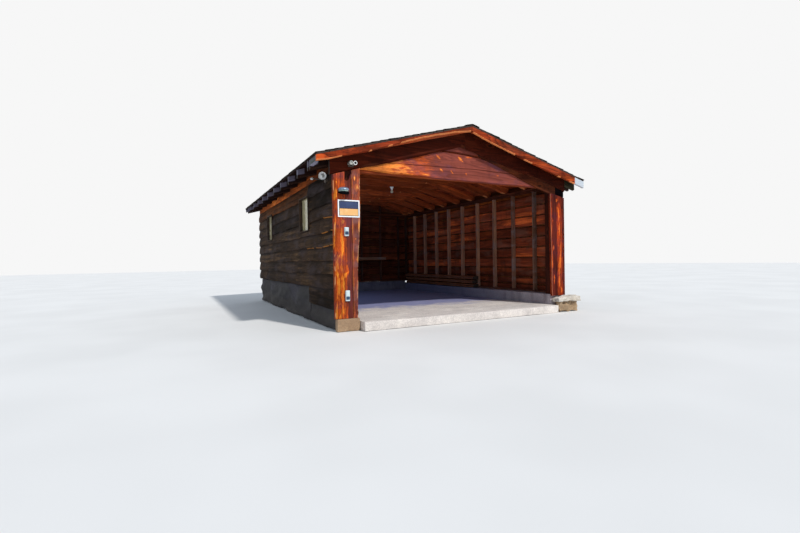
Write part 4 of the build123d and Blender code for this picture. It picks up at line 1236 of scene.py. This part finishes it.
# Pale chips on them: two ends as places across the gable and heights, and a half width
chips = [
    (-1.08, 2.449, -0.97, 2.376, 0.022), (-1.43, 2.376, -1.37, 2.340, 0.016), (-0.52, 2.672, -0.45, 2.618, 0.015),
    (-0.10, 2.684, -0.01, 2.614, 0.020), (-0.455, 2.462, -0.405, 2.420, 0.013), (-0.80, 2.349, -0.60, 2.344, 0.010),
    (0.050, 2.430, 0.060, 2.398, 0.012), (-0.246, 2.443, -0.211, 2.406, 0.010), (0.046, 2.697, 0.194, 2.702, 0.009),
    (0.70, 2.45, 0.76, 2.43, 0.008), (-1.75, 2.40, -1.60, 2.395, 0.012),
]


def chipped(s, across):
    """Strength of light wood on the gable: bright towards the left end, where the brightness is partly painted
    sunlight, and dull towards the right, and 1 near the straight line of each chip, which narrows to its ends."""
    glow = [1.9, 1.7, 1.0, 0.55, 0.06, -0.12, -0.05]
    total = np.interp(s, [-2.2, -1.6, -1.2, -0.9, -0.5, 0.3, 2.2], glow) + 0 * across
    for x_a, z_a, x_b, z_b, width in chips:
        step_x, step_z = x_b - x_a, z_b - z_a
        t = np.clip(((s - x_a) * step_x + (across - z_a) * step_z) / (step_x**2 + step_z**2), 0, 1)
        distance = np.hypot(s - x_a - t * step_x, across - z_a - t * step_z)
        narrow = width * (1.15 - 0.75 * np.abs(2 * t - 0.8))
        total = np.maximum(total, np.clip(1.5 - distance / narrow, 0, 1.15))
    return total


def gable_planks():
    """Three planks behind the verge boards: a lower one, a middle one and the triangle at the peak."""
    x0, x1, y0, y1, z0, z1 = reach("gable_infill")
    place, thick = ((0, y0, 0), X, Z, -Y), y1 - y0
    wide = (deck_low - 2.5) / pitch - 0.03
    planks = []
    for start, end, gap in ((x0, x1, 0.014), (-wide, wide, 0.014), (-1.32, 1.5, 0.035)):
        s = with_cuts(steps(start, end, gap), (0,))
        roof = under_deck(s) - play
        planks.append((s, smooth_line(*middle_seam, s, 921, 0.003), smooth_line(*upper_seam, s, 923), roof))
    s, middle, upper, roof = planks[0]
    low = smooth_line(*lower_edge("gable_infill"), s, 920, 0.005)
    parts = [plank(place, s, low, np.minimum(middle - 0.002, roof), thick, 922, "low", 0.012, columns=18, tone=0.5,
                   colours=chipped)]
    s, middle, upper, roof = planks[1]
    parts.append(plank(place, s, middle + 0.002, np.minimum(upper - 0.008, roof), thick - 0.004, 924, "high", 0.01,
                       columns=22, tone=0.4, colours=chipped))
    s, middle, upper, roof = planks[2]
    keep = roof > upper + 0.02
    parts.append(plank(place, s[keep], (upper + 0.01)[keep], roof[keep], thick - 0.008, 926, "low", 0.01, columns=14,
                       tone=0.3, colours=chipped))
    return parts


make_piece("gable_boards", gable_planks(), [infill_wood, fresh_ends], "stained_plank", "gable_infill")


def header():
    """Beam over the opening behind the gable planks, its top cut down under the first rafters."""
    x0, x1, y0, y1, z0, z1 = reach("header_beam")
    s = with_cuts(steps(x0, x1, 0.06), (0,))
    low = z0 + 0.004 + wander(s, 0.002, 0.6, 930)
    high = np.minimum(z1, under_deck(s) - rafter_v)
    return plank(((0, y0, 0), X, Z, -Y), s, low, high, y1 - y0, 930)


make_piece("door_header", [header()], [rafter_wood, fresh_ends], "framing_timber", "header_beam")


def fly_and_blocks():
    """Edge rafters of the front and rear overhangs, the block at the left eave corner and the tail at the right."""
    x0, x1, y0, y1, z0, z1 = reach("fly_rafters")
    depth = 0.071
    timbers = []
    for n, y in enumerate((y0, y1 - rafter_w)):
        for side in (-1, 1):
            s = steps(0.0005, rafter_end, 0.08)
            low = -depth + wander(s, 0.003, 0.4, 940 + n)
            timbers.append(plank(sloping(side, y), s, low, -0.0004, rafter_w, 940 + 2 * n + side, columns=4))
    s = steps(rafter_end - 0.043, rafter_end, 0.013)
    corner = deck_low - pitch * rafter_end - 0.096
    low = corner - (deck_low - pitch * s) + wander(s, 0.002, 0.1, 950)
    thick = frame_front - rafter_w - y0 - rafter_w
    timbers.append(plank(sloping(-1, y0 + rafter_w), s, low, -0.0004, thick, 951, "low", 0.012, (2, 2, 2)))
    s = steps(verge_end, rafter_end, 0.03)
    low = -rafter_v + wander(s, 0.004, 0.2, 953)
    timbers.append(plank(sloping(1, front), s, low, -0.0004, plank_t, 953, "low", 0.01, (3, 3, 3)))
    return timbers


edge_finishes = [rafter_wood, tail_ends, eave_block_wood, eave_tail_wood]
make_piece("edge_rafters", fly_and_blocks(), edge_finishes, "framing_timber", "fly_rafters")


def under_eave(s, across):
    """Strength of the painted shade on a frieze board: it begins between the rafters, and covers the front end."""
    corner = np.clip((front + 1.5 - s) / 0.9, 0, 1)
    return np.maximum(np.clip((across - under_deck(half) + 0.11) / 0.03, 0, 1), corner)


def frieze(side):
    """Board under the eave between the rafters, its top along the roof boards."""
    x0, x1, y0, y1, z0, z1 = reach("frieze_left" if side < 0 else "frieze_right")
    outer = max(abs(x0), abs(x1))
    place = ((side * outer, 0, 0), Y, Z, X * side)
    top, thick = under_deck(outer) - play, outer - stud_out
    parts = []
    joint = rafter_middle + rafter_gap * (4 if side < 0 else 6)
    for n, (a, b) in enumerate(((y0, joint), (joint, y1))):
        s, seed = steps(a + 0.001, b - 0.001, 0.06), 965 + 3 * side + n
        tone = 0.35 + 0.3 * n
        parts.append(
            plank(place, s, z0 - 0.001, top, thick, seed, "low", 0.006, columns=12, tone=tone, colours=under_eave)
        )
    return parts


make_piece("left_frieze_boards", frieze(-1), [frieze_wood, dark_ends], "siding_timber", "frieze_left")
make_piece("right_frieze_boards", frieze(1), [frieze_wood, dark_ends], "siding_timber", "frieze_right")

# Light wood on the corner planks: lines of (height, x, half width) points
outer_lines = [
    [(0.97, -2.149, 0.004), (1.08, -2.156, 0.011), (1.17, -2.150, 0.014), (1.30, -2.151, 0.016),
     (1.41, -2.165, 0.014), (1.53, -2.159, 0.015), (1.56, -2.142, 0.03), (1.60, -2.138, 0.012)],
    [(0.30, -2.217, 0.008), (0.436, -2.210, 0.02), (0.572, -2.212, 0.024), (0.676, -2.210, 0.014),
     (0.821, -2.228, 0.022), (0.916, -2.214, 0.016), (0.989, -2.229, 0.024), (1.10, -2.200, 0.005)],
    [(0.24, -2.13, 0.014), (0.49, -2.128, 0.012), (0.673, -2.138, 0.017), (0.753, -2.132, 0.018),
     (0.826, -2.118, 0.028), (0.85, -2.075, 0.014), (0.95, -2.09, 0.004)],
    [(1.87, -2.262, 0.008), (1.911, -2.245, 0.032), (1.972, -2.24, 0.022), (2.05, -2.236, 0.006),
     (2.11, -2.229, 0.013), (2.15, -2.229, 0.002)],
    [(1.18, -2.274, 0.006), (1.53, -2.256, 0.012), (1.60, -2.252, 0.013), (1.68, -2.256, 0.003)],
    [(0.20, -2.255, 0.008), (0.31, -2.262, 0.014), (0.40, -2.256, 0.004)],
]
inner_lines = [
    [(0.985, -1.922, 0.004), (1.032, -1.921, 0.026), (1.09, -1.914, 0.004)],
    [(2.165, -1.951, 0.004), (2.20, -1.951, 0.014), (2.235, -1.951, 0.003)],
    [(2.01, -1.925, 0.006), (2.05, -1.913, 0.034), (2.10, -1.922, 0.02), (2.12, -1.93, 0.003)],
    [(1.19, -1.928, 0.002), (1.21, -1.928, 0.01), (1.225, -1.926, 0.002)],
    [(1.265, -1.906, 0.002), (1.289, -1.906, 0.014), (1.31, -1.905, 0.003)],
    [(1.31, -1.951, 0.002), (1.322, -1.951, 0.01), (1.335, -1.95, 0.002)],
    [(1.36, -1.898, 0.005), (1.53, -1.897, 0.009), (1.62, -1.893, 0.003)],
    [(0.39, -1.918, 0.002), (0.418, -1.918, 0.012), (0.44, -1.918, 0.002)],
]
right_lines = [
    [(0.34, 2.20, 0.006), (0.42, 2.19, 0.022), (0.47, 2.14, 0.02), (0.70, 2.135, 0.026), (1.00, 2.161, 0.028),
     (1.31, 2.156, 0.02), (1.46, 2.148, 0.022), (1.76, 2.142, 0.022), (1.94, 2.108, 0.02), (1.98, 2.10, 0.004)],
    [(0.80, 1.945, 0.003), (0.86, 1.952, 0.012), (1.12, 1.956, 0.01), (1.19, 1.985, 0.022), (1.24, 1.99, 0.004)],
    [(1.38, 1.939, 0.003), (1.46, 1.941, 0.01), (1.66, 1.955, 0.01), (1.70, 1.962, 0.018), (1.75, 1.95, 0.003)],
    [(2.05, 2.075, 0.005), (2.08, 2.09, 0.022), (2.11, 2.07, 0.004)],
    [(0.52, 2.002, 0.004), (0.63, 2.007, 0.014), (0.70, 2.006, 0.003)],
]


def outer_glow(s, across):
    """Orange over the left two thirds of the outer plank, strongest low down, and purple by the seam."""
    side = np.interp(across, [-2.28, -2.25, -2.11, -2.075, -2.05], [0.4, 0.68, 0.6, 0.05, -0.85])
    return side * np.interp(s, [0.2, 0.9, 1.3, 1.7, 2.3], [1.1, 1.05, 0.85, 0.6, 0.5])


def inner_glow(s, across):
    """Dull brown inner plank with a brighter outer edge."""
    return np.interp(across, [-2.0, -1.985, -1.95, -1.9, -1.86], [0.9, 0.3, 0.1, 0.3, 0.5]) + 0 * s


def right_glow(s, across):
    """Right plank: purple along the middle of its left half, below its head, and orange over its right half."""
    places = [1.93, 1.955, 1.985, 2.0, 2.055, 2.08, 2.11, 2.19, 2.22, 2.28]
    glow = np.interp(across, places, [0.5, 0.35, 0.0, -0.9, -0.8, 0.3, 0.6, 0.55, 0.2, 0.15])
    return glow * np.interp(s, [0.2, 1.9, 2.05], [1.0, 1.0, 0.4])


def standing(y):
    """Place of a board of the front corners: along runs up, and across along X."""
    return (0, y, 0), Z, X, -Y


def outer_plank():
    """Outer plank of the left corner in three parts: the shaft, and the two sides of the notch at its head.
    Its top follows the board above by a cut."""
    x0, x1, y0, y1, z0, z1 = reach("post_left_outer")
    notch_low, radius, lean = 2.148, 0.033, 0.17
    rise = (x1 - x0) * pitch
    s = steps(z0, z1, 0.016)
    low = x0 + wander(s, 0.003, 0.5, 970)
    low = np.maximum(low, x0 + np.clip((s - z1 + rise) / rise, 0, 1) * (x1 - x0 - 0.004))
    high = x1 - 0.001 + 0 * s
    shaft = s <= notch_low
    head = s >= s[shaft][-1] - 1e-6
    depth = np.clip(s - notch_low, 0, None)
    gap = np.where(depth < radius, np.sqrt(np.clip(radius**2 - (radius - depth) ** 2, 0, None)), radius)
    gap = gap + np.clip(depth - radius, 0, None) * lean
    middle = -2.076 + lean * depth
    slip = head & (middle - gap - low > 0.012)
    colours = light_wood(outer_lines, outer_glow)
    return [
        plank(standing(y0), s[at], a[at], b[at], y1 - y0, 971, edge, 0.008, columns=count, tone=0.5, colours=colours)
        for at, a, b, edge, count in (
            (shaft, low, high, "low", 30), (slip, low, middle - gap, "low", 16), (head, middle + gap, high, "", 16)
        )
    ]


def inner_plank():
    """Inner plank of the left corner, with a natural right edge."""
    x0, x1, y0, y1, z0, z1 = reach("post_left_inner")
    s = steps(z0, z1, 0.016)
    rise = (x1 - x0) * pitch
    low = x0 + 0.001 + np.clip((s - z1 + rise) / rise, 0, 1) * (x1 - x0 - 0.012)
    high = smooth_line(*side_edge("post_left_inner", True), s, 974, 0.003)
    colours = light_wood(inner_lines, inner_glow)
    return plank(standing(y0), s, low, high, y1 - y0, 975, "high", 0.008, columns=22, tone=0.4, colours=colours)


def right_plank():
    """Plank of the right corner, with a natural left edge and a head cut back at the right."""
    x0, x1, y0, y1, z0, z1 = reach("post_right")
    s = steps(z0, z1, 0.016)
    low = np.maximum(smooth_line(*side_edge("post_right", False), s, 978), x0)
    high = np.interp(s, [z0, 2.133, 2.197, z1], [x1, x1, x0 + 0.07, x0 + 0.05])
    colours = light_wood(right_lines, right_glow)
    return plank(standing(y0), s, low, high, y1 - y0, 979, "low", 0.008, columns=30, tone=0.45, colours=colours)


corner = "stained_plank"
make_piece("left_corner_plank_outer", outer_plank(), [post_wood, fresh_ends], corner, "post_left_outer")
make_piece("left_corner_plank_inner", [inner_plank()], [inner_post_wood, fresh_ends], corner, "post_left_inner")
make_piece("right_corner_plank", [right_plank()], [right_post_wood, fresh_ends], corner, "post_right")


def jambs():
    """Posts behind the corner planks."""
    x0, x1, y0, y1, z0, z1 = reach("jamb_posts")
    width = 0.248
    parts = []
    for k, side in enumerate((-1, 1)):
        place = ((side * (x1 - width), y0, 0), Z, X * side, -Y)
        parts.append(plank(place, steps(z0, z1, 0.08), 0, width, y1 - y0, 985 + k, columns=5))
    return parts


make_piece("corner_framing", jambs(), [jamb_wood, dark_ends], "framing_timber", "jamb_posts")

# Windows


def casing(node, pane_node, seed):
    """Square box frame of four boards through the wall, the outer arrises worn."""
    x0, x1, y0, y1, z0, z1 = reach(node)
    width = reach(pane_node)[2] - y0
    origin = (x0, 0, 0)
    tall, level = steps(z0, z1), steps(y0 + width, y1 - width)
    return [
        plank((origin, *axes, -X), s, a, a + width, x1 - x0, seed + n, columns=4)
        for n, (axes, s, a) in enumerate((
            ((Z, Y), tall, y0), ((Z, Y), tall, y1 - width), ((Y, Z), level, z0), ((Y, Z), level, z1 - width)
        ))
    ]


def pane(node, seed):
    """Sheet of old glass, rounded at its arrises and very slightly uneven."""
    x0, x1, y0, y1, z0, z1 = reach(node)
    return rough_block((x0, y0, z0), (x1, y1, z1), 0.04, 0.002, 0.0006, seed, lump_step=0.2)


window_wood = timber(
    "window_boards", (70, 54, 44), (96, 74, 56), (28, 22, 20), wane=(120, 84, 56), grey=(96, 92, 90), lines=12.0,
    bleach=0.4, stain=0.4,
)
for n, bay in enumerate(("front", "rear")):
    boards = casing("window_frame_" + bay, "window_glass_" + bay, 1000 + 10 * n)
    make_piece(bay + "_window_frame", boards, [window_wood, dark_ends], "window_timber", "window_frame_" + bay)
for n, bay in enumerate(("front", "rear")):
    sheet = pane("window_glass_" + bay, 1020 + n)
    make_piece(bay + "_window_pane", [sheet], [glass], "pane", "window_glass_" + bay)

# Concrete and stone


def left_foundation():
    """Foundation poured against rough boards: a low part near the front and a high part behind."""
    x0, x1, y0, y1, z0, z1 = reach("kerb_left")
    return [
        rough_block((x0, wall_front, z0), (x1, step_y + 0.03, kerb_top), 0.035, 0.03, 0.02, 1100, stretch=4),
        rough_block((x0, step_y, z0), (x1, y1, left_top), 0.035, 0.035, 0.028, 1102, stretch=4),
    ]


def corner_block():
    """Cast block under the left corner planks."""
    x0, x1, y0, y1, z0, z1 = reach("kerb_left")
    top = reach("post_left_outer")[4]
    return rough_block((x0, front, z0), (x1, wall_front + 0.04, top), 0.02, 0.014, 0.006, 1104)


def rock(low, high, seed, peak_x, kind, taper, lump=0.022):
    """Broken stone: an uneven block drawn in above its foot towards one place along X, so that it rises to a blunt
    point there and falls away to both sides."""
    part = rough_block(low, high, 0.016, 0.03, lump, seed, 0.085, finish=kind)
    points = part["points"]
    t = np.clip((points[:, 2] - low[2]) / (high[2] - low[2]), 0, 1)
    fall = np.abs(points[:, 0] - peak_x) / (high[0] - low[0])
    points[:, 2] -= taper * (high[2] - low[2]) * t * np.clip(fall - 0.2, 0, 1)
    middle = (low[1] + high[1]) / 2
    points[:, 1] = middle + (points[:, 1] - middle) * (1 - 0.35 * np.clip(fall - 0.1, 0, 1))
    points[:] = np.clip(points, low, high)
    return part


def footing():
    """Field stones under the right corner: a brown block, and on it a pale flat stone that narrows rightwards."""
    x0, x1, y0, y1, z0, z1 = reach("footing_stone")
    return [
        rock((x0 + 0.04, front - 0.12, z0), (x1 - 0.05, y1, z1 - 0.04), 1106, x0 + 0.3, 1, 0.2, 0.05),
        rock((x0, front - 0.155, z1 - 0.115), (x1 - 0.002, y1 - 0.005, z1), 1108, x0 + 0.36, 0, 0.8),
    ]


def cast_kerb(node, seed):
    """Cast kerb with worn arrises and board marks."""
    x0, x1, y0, y1, z0, z1 = reach(node)
    return rough_block((x0, y0, z0), (x1, y1, z1), 0.05, 0.014, 0.004, seed, lump_step=0.2)


make_piece("left_foundation", left_foundation(), [mound_finish], "concrete", "kerb_left", sharp=60)
make_piece("left_corner_block", [corner_block()], [block_finish], "concrete", sharp=60)
make_piece("right_footing", footing(), [stone_finish, brown_stone], "field_stone", "footing_stone", sharp=40)
for n, (name, node, finish) in enumerate((
    ("right_kerb", "kerb_right", kerb_finish), ("rear_kerb", "kerb_rear", rear_kerb_finish),
    ("slab", "floor_slab", slab_finish),
)):
    make_piece(name, [cast_kerb(node, 1110 + 2 * n)], [finish], "concrete", node, sharp=60)

# Things kept inside


def shelf():
    """Shelf board and its front rail on the rear wall."""
    x0, x1, y0, y1, z0, z1 = reach("rear_shelf")
    return [
        beam(x0, x1, y0 + sawn_t, y1, z1 - 0.03, z1, 1200),
        beam(x0, x1, y0, y0 + sawn_t, z0, z1 - 0.001, 1201, "low", 0.008),
    ]


def stacked_timbers():
    """Three heavy timbers lying on the right kerb, with natural edges and uneven rear ends."""
    x0, x1, y0, y1, z0, z1 = reach("wall_ledge")
    layers = 3
    each = (z1 - z0) / layers
    parts = []
    for k in range(layers):
        s = steps(y0 + 0.03 * (k == 1), y1 - 0.04 * (layers - 1 - k), 0.06)
        low = 0.002 + np.abs(wander(s, 0.004, 0.5, 1210 + k))
        high = each - 0.002 - np.abs(wander(s, 0.005, 0.4, 1220 + k))
        parts.append(plank(((x0, 0, z0 + each * k), Y, Z, -X), s, low, high, x1 - x0, 1230 + k, "lowhigh", 0.012))
    return parts


make_piece("back_shelf", shelf(), [stud_wood, dark_ends], "framing_timber", "rear_shelf")
make_piece("timbers_on_kerb", stacked_timbers(), [ledge_wood, dark_ends], "dark_timber", "wall_ledge")

# Lamps, sign and covers


def floodlight():
    """Reflector lamp: wall base, level arm with a small sensor at its end, and a dished head with a stepped back."""
    x0, x1, y0, y1, z0, z1 = reach("floodlight")
    y, z_head = y0 + 0.062, z1 - 0.058
    z_arm = z_head - 0.042
    sensor = x0 + 0.017
    # The list of the base is one ring too long, so the finishes after it come 40 faces late. Their look rests on it.
    length = -half - sensor
    base = [(0, 0.001), (0, 0.04), (0.044, 0.043), (0.048, 0.034), (0.05, 0.001)]
    arm = [(0, 0.001), (0, 0.008), (length, 0.008), (length + 0.001, 0.001)]
    bulb = [(0, 0.001), (0.004, 0.013), (0.012, 0.017), (0.036, 0.016), (0.044, 0.001)]
    head = [
        (0.0, 0.001), (0.004, 0.028), (0.01, 0.045), (0.006, 0.054), (0.0, 0.0565), (0.006, 0.058), (0.016, 0.0565),
        (0.04, 0.046), (0.07, 0.036), (0.1, 0.03), (0.111, 0.027), (0.112, 0.001),
    ]
    return [
        turned((-half + 0.02, y, z_arm), -X, base, [2] * 5),
        turned((sensor, y, z_arm), X, arm, segments=20),
        turned((sensor, y - 0.022, z_arm), Y, bulb, [1, 0, 0, 0], 24),
        turned((-half - 0.08, y0, z_head), Y, head, [1, 1, 1] + [0] * 8),
    ]


def twin_lamp():
    """Square plate with two short turned lamps, one with a bright rim round a dark glass, the other dull."""
    x0, x1, y0, y1, z0, z1 = reach("twin_light")
    x, z = (x0 + x1) / 2 - 0.0015, (z0 + z1) / 2
    edge = 0.041
    low, high = (x - edge, front - 0.02, z - edge), (x + edge, front - play, z + edge)
    profile = [
        (0.0, 0.001), (0.0, 0.017), (0.02, 0.019), (0.05, 0.023), (0.098, 0.025), (0.104, 0.028),
        (0.114, 0.028), (0.114, 0.02), (0.106, 0.016), (0.1, 0.015), (0.098, 0.001),
    ]
    return [rough_block(low, high, 0.01, 0.006, 0.0, 1300, finish=3)] + [
        turned((x + offset, front - 0.001, z), -Y, profile, kinds, 32)
        for offset, kinds in ((-0.028, [2] * 10), (0.031, [2, 2, 2, 2, 0, 0, 0, 1, 1, 1]))
    ]


def bulkhead():
    """Half-round wall lamp: an arched hood with a lip over a shallow bowl, whose dark lower lip sags outwards."""
    x0, x1, y0, y1, z0, z1 = reach("bulkhead_lamp")
    x = (x0 + x1) / 2
    z0, z1 = z0 - 0.01, z1 + 0.006
    depth, width, rise = front - y0, (x1 - x0) / 2, z1 - z0
    around = 28
    angle = np.linspace(0, math.pi, around + 1)
    levels = np.array([0.0, 0.04, 0.3, 0.42, 0.43, 0.5, 0.58, 0.59, 0.64, 0.72, 0.84, 0.94, 1.0])[:, None]
    spread = np.array([0.84, 0.98, 1.0, 0.92, 0.84, 0.88, 0.86, 0.94, 0.98, 0.97, 0.86, 0.66, 0.3])[:, None]
    sag = 0.24 * (1 - np.sin(angle)) * np.maximum(0.42 - levels, 0) / 0.42
    points = np.stack([
        x + np.cos(angle) * width * spread, front - np.sin(angle) * depth * spread, z0 + rise * (levels + sag)
    ], -1)
    count = len(levels)
    index = np.arange(points.size // 3).reshape(count, around + 1)
    shell = np.stack([index[:-1, :-1], index[:-1, 1:], index[1:, 1:], index[1:, :-1]], -1).reshape(-1, 4)
    back = np.stack([index[:-1, 0], index[1:, 0], index[1:, -1], index[:-1, -1]], -1)
    caps = [end_quads(index[0])[:, ::-1], end_quads(index[-1])]
    kinds = [1, 1, 1, 1, 2, 2, 2, 0, 0, 0, 0, 0]
    kind = np.repeat(kinds + [1, 1, 0], [around] * len(kinds) + [count - 1, len(caps[0]), len(caps[1])])
    return solid(points, np.concatenate([shell, back] + caps), kind)


def sign():
    """Thin plate with a raised white rim round a dark upper band and a light lower band, without any lettering."""
    x0, x1, y0, y1, z0, z1 = reach("sign_plate")
    rim, inset, gap, back = 0.018, 0.025, 0.02, y1 - 0.003
    split = z0 + (z1 - z0) * 0.5
    boxes = [((x0, back, z0), (x1, y1, z1), 0.001, 0)] + [
        ((a, y0, c), (b, back, d), 0.0009, 0)
        for a, b, c, d in (
            (x0, x1, z1 - rim, z1), (x0, x1, z0, z0 + rim),
            (x0, x0 + rim, z0 + rim, z1 - rim), (x1 - rim, x1, z0 + rim, z1 - rim),
        )
    ] + [((x0 + rim, y1 - 0.0036, z0 + rim), (x1 - rim, y1 - 0.001, z1 - rim), 0.0002, 3)]
    for n, (c, d) in enumerate(((split + 0.003, z1 - inset), (z0 + inset, split - 0.003))):
        boxes.append(((x0 + inset, y0 + 0.0008, c), (x1 - inset, back, d), 0.0004, 1 + n))
    return [rough_block(low, high, gap, radius, 0.0, 1320, finish=kind) for low, high, radius, kind in boxes]


def power_covers():
    """Two weather covers: rounded boxes with a sunk blue lid window and a hinge line."""
    x0, x1, y0, y1, z0, z1 = reach("outlet_covers")
    parts = []
    for low, high in ((z1 - 0.127, z1), (z0, z0 + 0.153)):
        parts += [
            rough_block((x0, y0 + 0.006, low), (x1, y1, high), 0.008, 0.009, 0.0, 1330),
            rough_block((x0 + 0.01, y0, low + 0.07), (x1 - 0.01, y0 + 0.01, high - 0.006), 0.006, 0.005, 0.0, 1331),
            rough_block(
                (x0 + 0.007, y0, low + 0.022), (x1 - 0.007, y0 + 0.01, low + 0.066), 0.006, 0.004, 0.0, 1332, finish=1
            ),
        ]
    return parts


def ceiling_lamp():
    """Lamp holder and bulb under the middle tie, turned from one profile."""
    x0, x1, y0, y1, z0, z1 = reach("ceiling_lamp")
    holder = [(0, 0.001), (0.0, 0.04), (0.012, 0.042), (0.02, 0.036), (0.034, 0.024), (0.06, 0.02), (0.07, 0.019)]
    bulb = [
        (0.076, 0.018), (0.088, 0.024), (0.1, 0.0295), (0.11, 0.031), (0.12, 0.0295), (0.13, 0.022), (0.137, 0.01),
        (0.139, 0.001),
    ]
    kinds = [0] * (len(holder) - 1) + [1] * len(bulb)
    return turned(((x0 + x1) / 2, (y0 + y1) / 2, z1), -Z, holder + bulb, kinds, 32)


make_piece("reflector_lamp", floodlight(), [pale_metal, white_enamel, dull_plate], "lamp_metal", "floodlight")
make_piece("verge_lamps", twin_lamp(), [white_enamel, lamp_dark, pale_metal, dull_plate], "lamp_white", "twin_light")
make_piece("corner_lamp", [bulkhead()], [lamp_grey, lamp_dark, lamp_bowl], "lamp_metal", "bulkhead_lamp")
make_piece("sign_board", sign(), [sign_white, sign_blue, sign_cream, lamp_dark], "sign_face", "sign_plate")
make_piece("power_covers", power_covers(), [cover_pale, cover_blue], "cover_plastic", "outlet_covers")
make_piece("tie_lamp", [ceiling_lamp()], [white_enamel, bulb_glass], "lamp_white", "ceiling_lamp")

# Stage, light and camera


def studio_floor():
    """Large pale floor under the building with faint clouds, so that it has no plain look."""
    size, z = 60.0, -0.001
    mesh = bpy.data.meshes.new("studio_floor")
    mesh.from_pydata([(-size, -size, z), (size, -size, z), (size, size, z), (-size, size, z)], [], [(0, 1, 2, 3)])
    floor = bpy.data.objects.new("studio_floor", mesh)
    bpy.context.scene.collection.objects.link(floor)
    material, w, place = new_material("studio_floor")
    shade = w.span(w.noise(place, 0.6, 2.0), 0.3, 0.7)
    w.feed(w.shader, Base_Color=w.blend(shade, tint(222, 221, 219), tint(228, 227, 225)), Roughness=0.9)
    mesh.materials.append(material)


def aimed(name, data, travel):
    """Lamp turned so that its light runs along travel."""
    lamp = bpy.data.objects.new(name, data)
    lamp.rotation_mode = "QUATERNION"
    lamp.rotation_quaternion = travel.to_track_quat("-Z", "Y")
    bpy.context.scene.collection.objects.link(lamp)
    return lamp


def studio_light():
    """Soft key light from the photograph's side, a weak blue fill inside, and an even pale surround, white where it
    is seen directly, in metal or through glass."""
    sun = bpy.data.lights.new("key_light", "SUN")
    sun.energy, sun.angle, sun.color = 2.8, math.radians(3), (1.0, 0.975, 0.94)
    aimed("key_light", sun, Vector((-0.64, 2.10, -2.15)))
    panel = bpy.data.lights.new("inside_fill", "AREA")
    panel.shape, panel.size, panel.size_y = "RECTANGLE", 2.6, 0.8
    panel.energy, panel.color = 17, (0.5, 0.68, 1.0)
    stand, target = Vector((-1.95, 0.5, 1.9)), Vector((2.1, 0.2, 1.1))
    fill = aimed("inside_fill", panel, target - stand)
    fill.location, fill.visible_camera = stand, False
    world = bpy.data.worlds.new("surround")
    bpy.context.scene.world = world
    world.use_nodes = True
    w = Wiring(world.node_tree)
    path = w.add("ShaderNodeLightPath").outputs
    mirrored = w.math("MAXIMUM", path["Is Glossy Ray"], path["Is Transmission Ray"])
    seen = w.math("MAXIMUM", path["Is Camera Ray"], mirrored)
    surround = w.blend(seen, (0.72, 0.84, 1.0, 1.0), (0.93, 0.93, 0.93, 1.0))
    w.feed(world.node_tree.nodes["Background"], Color=surround, Strength=w.span(seen, 0.0, 1.0, 0.6, 1.0))


def photo_camera():
    """Camera at the place and turn worked out from the photograph."""
    data = bpy.data.cameras.new("photo_camera")
    data.lens = 19.254
    data.sensor_width = 36
    camera = bpy.data.objects.new("photo_camera", data)
    turn, dip, roll = math.radians(27.52), math.radians(-0.77), -0.0167
    ahead = Vector((math.sin(turn) * math.cos(dip), math.cos(turn) * math.cos(dip), math.sin(dip)))
    right = ahead.cross(Vector((0, 0, 1))).normalized()
    up = right.cross(ahead)
    right, up = right * math.cos(roll) + up * math.sin(roll), up * math.cos(roll) - right * math.sin(roll)
    stand = Matrix.Translation((-4.234, -8.833, 0.999))
    camera.matrix_world = stand @ Matrix((right, up, -ahead)).transposed().to_4x4()
    bpy.context.scene.collection.objects.link(camera)
    bpy.context.scene.camera = camera


studio_floor()
studio_light()
photo_camera()
bpy.context.scene.view_settings.view_transform = "Standard"

bpy.context.view_layer.update()
